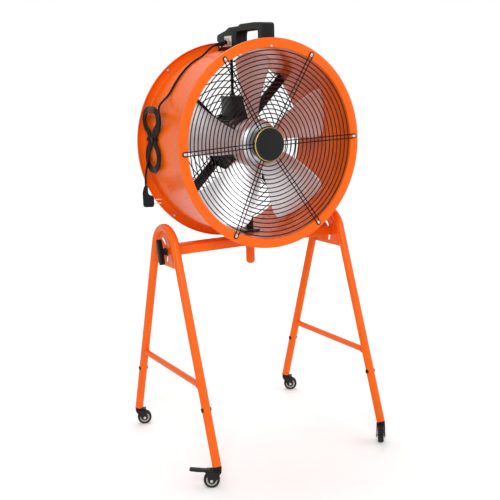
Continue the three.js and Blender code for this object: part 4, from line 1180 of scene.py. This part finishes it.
class FAN_OT_drum(FanOperator, bpy.types.Operator):
    """Roll the drum with its two end rings and fit their screws"""

    bl_idname = "fan.drum"
    bl_label = "Drum"

    def execute(self, context):
        d = drum()
        bore, rim, half = mm(d.bore_radius), mm(d.flange_radius), mm(d.depth) / 2
        outside = bore + mm(d.wall)
        z = mm(d.axis_height)
        front = [
            (bore, 2.2), (bore + 0.5, 0.7), (bore + 1.8, 0), (rim - 2.4, 0), (rim - 0.8, 0.6), (rim, 2.2),
            (rim, 8.4), (rim - 0.5, 9), (rim - 1.5, 9), (rim - 2, 8.4), (rim - 2, 3.4), (rim - 3.4, 2),
            (outside + 3.5, 2), (outside + 1, 2.9), (outside, 5.2),
        ]
        profile = both_ways([(radius, along - half) for radius, along in front])
        shells = [turned([*profile, profile[0]], (0, 0, z), BACK, 224)]
        shells.append(self.seam(outside, half, z))
        piece(
            "rolled_drum", shells, "head", "powder coat", ["drum_shell", "front_flange", "rear_flange"],
            crease=50,
        )
        shells = rim_screws(-half - 2.2, FRONT_SPOKES, -1)
        shells += rim_screws(half + 2.2, REAR_SPOKES, 1)
        shells += screw((0, -half + 0.2, z + 304), (0, -1, 0), 3.6, 2.2, washer=False)
        for angle in (49, 131, 229, 311):
            turn = math.radians(angle)
            spot = Vector((318 * math.cos(turn), half - 2.0, z + 318 * math.sin(turn)))
            shells.append(hex_head(spot, (0, -1, 0), 10, 4.4))
        piece("ring_screws", shells, "head", "zinc plate")
        return {"FINISHED"}

    def seam(self, outside, half, z):
        turn = math.radians(-62)
        path = []
        for i in range(30):
            y = -half + 3 + (mm(drum().depth) - 6) * i / 29
            wave = 0.0006 * math.sin(i * 1.9)
            path.append((outside * math.cos(turn + wave), y, z + outside * math.sin(turn + wave)))
        return swept(path, 1.1, 8)


class FAN_OT_guards(FanOperator, bpy.types.Operator):
    """Weld the front and rear wire guards and fit the round badge plate"""

    bl_idname = "fan.guards"
    bl_label = "Guards and badge"

    def execute(self, context):
        d = drum()
        half = mm(d.depth) / 2
        z = mm(d.axis_height)
        front = self.guard(d.front_rings, FRONT_SPOKES, 32.0, 56.0)
        for shell in front:
            placed(shell, at(0, -half, z))
        piece("front_wire_guard", front, "head", "wire coating", ["front_guard"])
        rear = self.guard(d.rear_rings, REAR_SPOKES, 3.0, 24.0)
        turn = Matrix.Rotation(math.pi, 4, "Z")
        for shell in rear:
            placed(shell, at(0, half, z) @ turn)
        piece("rear_wire_guard", rear, "head", "wire coating", ["rear_guard"])
        self.badge(z, -half + 32 - 4.6)
        return {"FINISHED"}

    def guard(self, rings, angles, middle, inner):
        """A guard with its outer face at y = 0, dished inwards to its middle."""
        wire = mm(drum().wire)
        outer, edge = 292.0, 3.0
        shells = []
        for i in range(rings):
            radius = inner + (outer - inner) * i / (rings - 1)
            depth = middle + (edge - middle) * (radius - inner) / (outer - inner)
            section = circle(wire, 8, radius, depth)
            shells.append(turned([*section, section[0]], ORIGIN, BACK, 96 if radius > 120 else 64))
        over = -wire - 0.3
        for degrees in angles:
            hairpin = [
                Vector((inner - 3, middle - 1.9 * wire, 6)),
                Vector((outer + 0.5, edge - 1.9 * wire, 6)),
                Vector((outer + 3.5, (edge - 1.9 * wire + over) / 2 - 0.3, 6)),
                Vector((outer + 7, over, 6)),
            ]
            bend = []
            for i in range(13):
                angle = math.pi * i / 12
                bend.append(Vector((SCREW_CIRCLE + 6.6 * math.sin(angle), over, 6 * math.cos(angle))))
            back = [Vector((p.x, p.y, -p.z)) for p in reversed(hairpin)]
            path = [*hairpin, *bend, *back]
            turn = Matrix.Rotation(-math.radians(degrees), 4, "Y")
            shells.append(placed(swept(path, wire, 8), turn))
        return shells

    def badge(self, z, back):
        face = [
            (0, -6.6), (20, -6.5), (38, -6.1), (44.4, -5.7), (44.9, -5.1), (45.6, -5.1), (46.2, -5.5),
            (49.4, -5.3), (53.4, -4.0), (55, -2.4), (55, 0), (0, 0),
        ]
        plate = turned(face, (0, back, z), BACK, 96)
        piece("badge_plate", [plate], "head", "badge face", ["guard_badge"])
        band = [
            (52.6, -4.0), (52.6, -4.9), (53.2, -5.2), (54.6, -4.0), (55.2, -2.8), (54.6, -2.2), (52.6, -4.0),
        ]
        piece("badge_ring", [turned(band, (0, back, z), BACK, 96)], "head", "gold trim")


# ---------------------------------------------------------------- fan and motor
BLADE_ROWS, BLADE_COLUMNS = 26, 18


def blade_point(s, c):
    """A point of the blade's middle surface: s runs out along it, c across it."""
    hub, tip = 80.0, 288.0
    radius = hub - 6 + (tip - hub + 6) * s
    chord = 90 + 116 * (1.1 * s ** 0.9 - 0.1 * s ** 8)
    pitch = math.radians(44 - 22 * s)
    along = (c - 0.5) * chord
    lift = 0.07 * chord * (1 - (2 * c - 1) ** 2) + 1.2
    tangential = along * math.cos(pitch) + lift * math.sin(pitch)
    axial = lift * math.cos(pitch) - along * math.sin(pitch)
    angle = math.radians(4 - 8 * s) + tangential / max(radius, 84.0)
    return Vector((radius * math.cos(angle), -60 + axial, radius * math.sin(angle)))


class FAN_OT_fan(FanOperator, bpy.types.Operator):
    """Make the hub and its pressed blades"""

    bl_idname = "fan.fan"
    bl_label = "Hub and blades"

    def execute(self, context):
        z = mm(drum().axis_height)
        hub = [
            (12.4, -81), (14, -83.4), (30, -85.6), (44, -84.8), (60, -80.6), (71, -73), (77, -64),
            (79.6, -54), (80, -46), (80, -24), (78.6, -22), (12.4, -22), (12.4, -81),
        ]
        shells = [turned(hub, (0, 0, z), BACK, 96)]
        for y in (-50, -28):
            bead = [(79.4 + 1.2 * math.cos(a), y + 1.2 * math.sin(a)) for a in (0, 1.57, 3.14, 4.71, 6.28)]
            shells.append(turned(bead, (0, 0, z), BACK, 96))
        piece("hub_shell", shells, "fan", "bright sheet", ["fan_hub"])
        shaft = [(0, -86.4), (8, -86.4), (10, -85.4), (11.9, -83.6), (11.9, 14), (0, 14)]
        washer = [(0, -84.6), (20, -84.6), (21, -85.6), (20, -87), (0, -87)]
        nut = hex_head((0, -86.6, z), (0, -1, 0), 19, 7)
        piece(
            "shaft_and_nut", [turned(shaft, (0, 0, z), BACK, 40), turned(washer, (0, 0, z), BACK, 40), nut],
            "fan", "zinc plate", ["motor_shaft"],
        )
        rivets = []
        for k in range(drum().blades):
            turn = at(0, 0, z) @ Matrix.Rotation(-math.radians(23 + 360 * k / drum().blades), 4, "Y")
            blade = placed(self.blade(), turn)
            piece(f"pressed_blade_{k + 1}", [blade], "fan", "bright sheet", [f"fan_blade_{k + 1}"])
            rivets += self.rivets(turn)
        piece("blade_rivets", rivets, "fan", "zinc plate")
        return {"FINISHED"}

    def blade(self):
        shell = bmesh.new()
        bmesh.ops.create_grid(shell, x_segments=BLADE_ROWS, y_segments=BLADE_COLUMNS, size=0.5)
        for vert in shell.verts:
            s, c = vert.co.x + 0.5, vert.co.y + 0.5
            trim = 0.5 + (c - 0.5) * (1 - 0.10 * max(0.0, s - 0.86) / 0.14)
            reach = s * (1 - 0.035 * abs(2 * c - 1) ** 3)
            vert.co = blade_point(reach, trim)
        bmesh.ops.recalc_face_normals(shell, faces=shell.faces)
        bmesh.ops.solidify(shell, geom=shell.faces[:], thickness=2.2)
        bmesh.ops.recalc_face_normals(shell, faces=shell.faces)
        return soften(shell, 0.7, 2, 60)

    def rivets(self, turn):
        shells = []
        for s, c in ((0.075, 0.3), (0.075, 0.5), (0.075, 0.7)):
            spot = blade_point(s, c)
            across = blade_point(s, c + 0.02) - spot
            out = blade_point(s + 0.02, c) - spot
            normal = out.cross(across).normalized()
            if normal.y > 0:
                normal = -normal
            head = [(0, -1.8), (3.6, -1.8), (3.6, 0.4), (2.6, 1.6), (0, 2.2)]
            shells.append(placed(turned(head, spot + normal * 1.1, normal, 18), turn))
        return shells


MOTOR_RADIUS = 90
# The terminal box's lid, and where the lead goes up from it.
BOX_TOP = 1168
LEAD_DEPTH = 98


class FAN_OT_motor(FanOperator, bpy.types.Operator):
    """Make the finned motor, its terminal box, carrier arms, column and lead"""

    bl_idname = "fan.motor"
    bl_label = "Motor"

    def execute(self, context):
        z = mm(drum().axis_height)
        body = [
            (0, -6), (13, -6), (13, -9.6), (38, -9.6), (46, -8), (70, -4), (82, -1.4), (88.4, 3),
            (MOTOR_RADIUS, 8), (MOTOR_RADIUS, 16), (86, 18), (86, 122), (MOTOR_RADIUS, 124),
            (MOTOR_RADIUS, 134), (87, 140), (80, 144), (60, 146), (40, 146.2), (0, 146.2),
        ]
        shells = [turned(body, (0, 0, z), BACK, 96)]
        for k in range(44):
            angle = math.tau * (k + 0.5) / 44
            if abs(math.degrees(angle) - 90) < 28:
                continue
            spot = Vector((86.6 * math.cos(angle), 62, z + 86.6 * math.sin(angle)))
            shells.append(rounded_box((9.0, 86, 2.4), spot, 0.6, Matrix.Rotation(-angle, 4, "Y")))
        for k in range(12):
            angle = math.tau * k / 12
            spot = Vector((50 * math.cos(angle), 145.6, z + 50 * math.sin(angle)))
            shells.append(rounded_box((30, 2.6, 4), spot, 0.8, Matrix.Rotation(-angle, 4, "Y")))
        piece("motor_housing", shells, "head", "motor paint", ["motor_body"])
        bolts = []
        for k in range(4):
            angle = math.tau * (k + 0.5) / 4
            for y, way in ((141.5, 1), (1.0, -1)):
                spot = (79 * math.cos(angle), y, z + 79 * math.sin(angle))
                bolts.append(hex_head(spot, (0, way, 0), 9, 4))
        piece("motor_bolts", bolts, "head", "zinc plate")
        self.terminal_box()
        self.carrier(z)
        self.column(z)
        self.lead()
        return {"FINISHED"}

    def terminal_box(self):
        shells = [
            rounded_box((76, 72, 72), (0, 76, BOX_TOP - 42), 3.0, segments=3),
            rounded_box((79, 75, 8), (0, 76, BOX_TOP - 4), 2.4, segments=3),
            rounded_box((70, 66, 4), (0, 76, BOX_TOP - 9.4), 0.4),
        ]
        gland = [(0, 0), (10, 0), (10, 4), (8.4, 5), (8.4, 12), (0, 12)]
        shells.append(turned(gland, (0, LEAD_DEPTH, BOX_TOP - 1), UP, 30))
        piece("lidded_box", shells, "head", "motor paint", ["terminal_box"])
        heads = []
        for x in (-32, 32):
            for y in (46, 106):
                heads += screw((x, y, BOX_TOP), UP, 3.4, 1.8, washer=False)
        piece("box_screws", heads, "head", "zinc plate")

    def carrier(self, z):
        reach = mm(drum().bore_radius) - 0.4
        inner = MOTOR_RADIUS + 0.2
        ring = [(inner, 112), (99, 112), (99, 117), (inner, 117), (inner, 112)]
        shells = [turned(ring, (0, 0, z), BACK, 80)]
        bolts = []
        for degrees in (45, 135, 225, 315):
            turn = at(0, 0, z) @ Matrix.Rotation(-math.radians(degrees), 4, "Y")
            outline = [(94, -17), (reach - 8, -17), (reach - 8, 17), (94, 17)]
            shells.append(placed(slab(outline, 5, ACROSS_Y @ at(0, 0, -117), soft=0.8), turn))
            rib = rounded_box((reach - 116, 4, 5), ((reach + 100) / 2, 110.5, 0), 1.2)
            shells.append(placed(rib, turn))
            corner = []
            for i in range(9):
                angle = math.pi / 2 * i / 8
                corner.append((reach - 8 + 5.6 * math.sin(angle), 112 + 6 - 6 * math.cos(angle)))
            for i in range(9):
                angle = math.pi / 2 * (8 - i) / 8
                corner.append((reach - 8 + 1.2 * math.sin(angle), 117 + 1.4 - 1.4 * math.cos(angle)))
            shells.append(placed(slab(corner, 34, at(0, 0, -17), soft=0.3), turn))
            foot = rounded_box((4, 27, 34), (reach - 4.3, 131, 0), 0.8)
            shells.append(placed(foot, turn))
            for v in (-9, 9):
                for shell in screw((reach - 6.3, 133, v), (-1, 0, 0), 4.4, 2.4):
                    bolts.append(placed(shell, turn))
            for v in (-10, 10):
                bolts.append(placed(hex_head((106, 112, v), (0, -1, 0), 9, 3.6), turn))
        piece("carrier_arms", shells, "head", "black strip", ["motor_spider"])
        piece("carrier_bolts", bolts, "head", "zinc plate")

    def column(self, z):
        bottom, top = z - mm(drum().bore_radius), z - MOTOR_RADIUS
        outline = []
        for i in range(13):
            x = -30 + 5 * i
            outline.append((x, z - math.sqrt((mm(drum().bore_radius) - 0.4) ** 2 - x * x)))
        outline += [(30, bottom + 8), (-30, bottom + 8)]
        y = mm(stand().bar_depth)
        shells = [
            slab(outline, 36, ACROSS_Y @ at(0, 0, -18 - y), soft=0.7),
            rounded_box((26, 8, top - bottom - 4), (0, y, (top + bottom + 10) / 2), 1.6),
            rounded_box((34, 22, 5), (0, y + 2, top - 0.6), 1.0),
        ]
        piece("motor_post", shells, "head", "black strip", ["motor_column"])
        bolts = []
        for x in (-22, 22):
            for side in (-10, 10):
                bolts += screw((x, y + side, bottom + 8), UP, 4.0, 2.4)
        piece("post_bolts", bolts, "head", "zinc plate")

    def lead(self):
        profile = [(0, BOX_TOP - 2)]
        ribs, tall = 36, 148
        for i in range(ribs):
            low = BOX_TOP + tall * i / ribs
            profile += [(5.4, low), (5.4, low + 1.9), (4.6, low + 2.3), (4.6, low + 3.7)]
        end = BOX_TOP + tall
        profile += [(5.4, end), (5.4, end + 6), (0, end + 6)]
        lead = turned(profile, (0, LEAD_DEPTH, 0), UP, 20)
        piece("ribbed_lead", [lead], "head", "cord sheath", ["motor_lead"])


# ---------------------------------------------------------------- handle and switch
SLOPE = math.atan2(10, 52)
SLOPE_PLACE = Matrix.Translation((0, 124, 1376)) @ Matrix.Rotation(-SLOPE, 4, "X")


class FAN_OT_handle(FanOperator, bpy.types.Operator):
    """Make the carrying handle with its switch box, rocker, gland plate and strain relief"""

    bl_idname = "fan.handle"
    bl_label = "Handle and switch"

    def execute(self, context):
        self.handle()
        self.switch()
        self.gland()
        return {"FINISHED"}

    def handle(self):
        low = 1316.6
        outline = [
            (-145, low), (-145, 1383), (-143.6, 1387.4), (-139, 1391.2), (-130, 1393.4), (-86, 1396),
            (-6, 1396), (0, 1395.2), (8, 1391.8), (14, 1390.4), (68, 1390), (76, 1389), (98, 1381),
        ]
        pocket = 16.2
        lift = math.tan(SLOPE)
        outline += [(124 - pocket, 1376 + pocket * lift), (124 + pocket, 1376 - pocket * lift)]
        outline += [
            (147, 1371.6), (153, 1369.4), (156.4, 1365), (157, 1360), (157, 1349), (150, 1347.8), (150, low),
        ]
        finger = [
            (-106, 1328), (18, 1328), (22.6, 1329.8), (25, 1334), (25, 1358), (23, 1368), (19.6, 1372.4),
            (13, 1374), (-102, 1374), (-108.6, 1371.6), (-112, 1366), (-112, 1335), (-109.8, 1330.2),
        ]
        grip = slab(outline, 42, at(-21, 0, 0) @ ACROSS_X, [finger], soft=4.2, segments=4)
        shells = [grip]
        for i in range(9):
            y = -84 + i * 11
            shells.append(rounded_box((36, 4.2, 2.2), (0, y, 1374.0), 1.0))
        for y in (-146, 146):
            shells.append(rounded_box((48, 12, 3.4), (0, y * 0.96, 1318.6), 1.2))
        piece("grip_and_box", shells, "head", "moulded plastic", ["carry_handle"])
        heads = []
        for y in (-129, 136):
            for x in (-21, 21):
                heads += screw((x, y, 1330), (math.copysign(1, x), 0, 0), 3.6, 1.6, washer=False)
        piece("grip_screws", heads, "head", "zinc plate")

    def switch(self):
        hole = [(-8, -11.5), (8, -11.5), (8, 11.5), (-8, 11.5)]
        rim = [(-11.2, -15.7), (11.2, -15.7), (11.2, 15.7), (-11.2, 15.7)]
        frame_ring = slab(rim, 13, at(0, 0, -11), [hole], soft=0.8)
        floor = rounded_box((17, 24, 2), (0, 0, -9.4), 0.3)
        piece(
            "switch_surround", [placed(frame_ring, SLOPE_PLACE), placed(floor, SLOPE_PLACE)], "head",
            "moulded plastic", ["switch_frame"],
        )
        outline = [
            (-11, -2), (-7.7, -4), (7.7, -4), (11, -2), (10.6, 1.2), (10.2, 1.7), (4, 2.4), (0, 3.0),
            (-5, 4.1), (-10, 5.0), (-10.5, 4.6),
        ]
        paddle = slab(outline, 15, at(-7.5, 0, 0) @ ACROSS_X, soft=0.5)
        piece("rocker_paddle", [placed(paddle, SLOPE_PLACE)], "rocker", "badge face", ["power_rocker"])
        line = rounded_box((0.9, 4.4, 0.7), (0, -6, 4.15), 0.2, Matrix.Rotation(math.radians(-11), 4, "X"))
        loop = [(2.1 + 0.45 * math.cos(a), 0.45 * math.sin(a)) for a in (0, 1.57, 3.14, 4.71, 6.28)]
        ring = turned(loop, (0, 6.2, 2.25), (0, 0.11, 1), 28)
        marks = [placed(line, SLOPE_PLACE), placed(ring, SLOPE_PLACE)]
        piece("rocker_marks", marks, "rocker", "wheel plastic")

    def gland(self):
        plate = rounded_box((2, 46, 35), (-22.3, 77, 1345.4), 0.8)
        lip = rounded_box((10, 46, 2), (-26.4, 77, 1328.6), 0.7, Matrix.Rotation(math.radians(24), 4, "Y"))
        shells = [plate, lip]
        for y in (59, 96):
            shells += screw((-23.2, y, 1357), (-1, 0, 0), 3.2, 1.8, washer=False)
        nut = RELIEF_START + RELIEF_DIRECTION * 1.0
        collar = [(0, -1), (11.5, -1), (11.5, 3.2), (10.4, 4.4), (0, 4.4)]
        shells.append(turned(collar, nut, RELIEF_DIRECTION, 6))
        piece("gland_bracket", shells, "head", "zinc plate", ["gland_plate"])
        profile = [(0, 0), (8.8, 0), (9, 0.6), (9, 4.6), (8.4, 5.4)]
        ribs = 8
        pitch = (RELIEF_LENGTH - 7) / ribs
        for i in range(ribs):
            along = 6 + i * pitch
            radius = 6.8 - 2.2 * i / ribs
            profile += [
                (radius - 1.3, along), (radius - 0.2, along + pitch * 0.2), (radius, along + pitch * 0.4),
                (radius - 0.3, along + pitch * 0.68), (radius - 1.3, along + pitch * 0.8),
            ]
        profile += [(4.1, RELIEF_LENGTH - 0.6), (3.7, RELIEF_LENGTH), (0, RELIEF_LENGTH)]
        relief = turned(profile, RELIEF_START, RELIEF_DIRECTION, 32)
        piece("ribbed_relief", [relief], "head", "soft rubber", ["strain_relief"])


# ---------------------------------------------------------------- add-on
STEPS = (
    FAN_OT_stage, FAN_OT_cord, FAN_OT_side_frames, FAN_OT_casters, FAN_OT_crossbar, FAN_OT_lock_knob,
    FAN_OT_swivel_post, FAN_OT_drum, FAN_OT_guards, FAN_OT_fan, FAN_OT_motor, FAN_OT_handle,
)


class FAN_PT_panel(bpy.types.Panel):
    """Lists the building steps and the sizes they use"""

    bl_idname = "FAN_PT_panel"
    bl_label = "Drum fan"
    bl_space_type = "VIEW_3D"
    bl_region_type = "UI"
    bl_category = "Drum fan"

    def draw(self, context):
        for step in STEPS:
            self.layout.operator(step.bl_idname)
        for group in SETTINGS:
            settings = getattr(context.scene, group)
            box = self.layout.box()
            for name in settings.bl_rna.properties.keys():
                if name not in {"name", "rna_type"}:
                    box.prop(settings, name)


SETTINGS = {
    "fan_stand": FanStandSizes, "fan_drum": FanDrumSizes, "fan_cord": FanCordSizes, "fan_colours": FanColours,
}


def register():
    for group in SETTINGS.values():
        bpy.utils.register_class(group)
    for step in STEPS:
        bpy.utils.register_class(step)
    bpy.utils.register_class(FAN_PT_panel)
    for name, group in SETTINGS.items():
        setattr(bpy.types.Scene, name, PointerProperty(type=group))


def unregister():
    for name in SETTINGS:
        delattr(bpy.types.Scene, name)
    bpy.utils.unregister_class(FAN_PT_panel)
    for step in reversed(STEPS):
        bpy.utils.unregister_class(step)
    for group in reversed(SETTINGS.values()):
        bpy.utils.unregister_class(group)


def main():
    register()
    for step in STEPS:
        family, name = step.bl_idname.split(".")
        getattr(getattr(bpy.ops, family), name)()


if __name__ == "__main__":
    main()
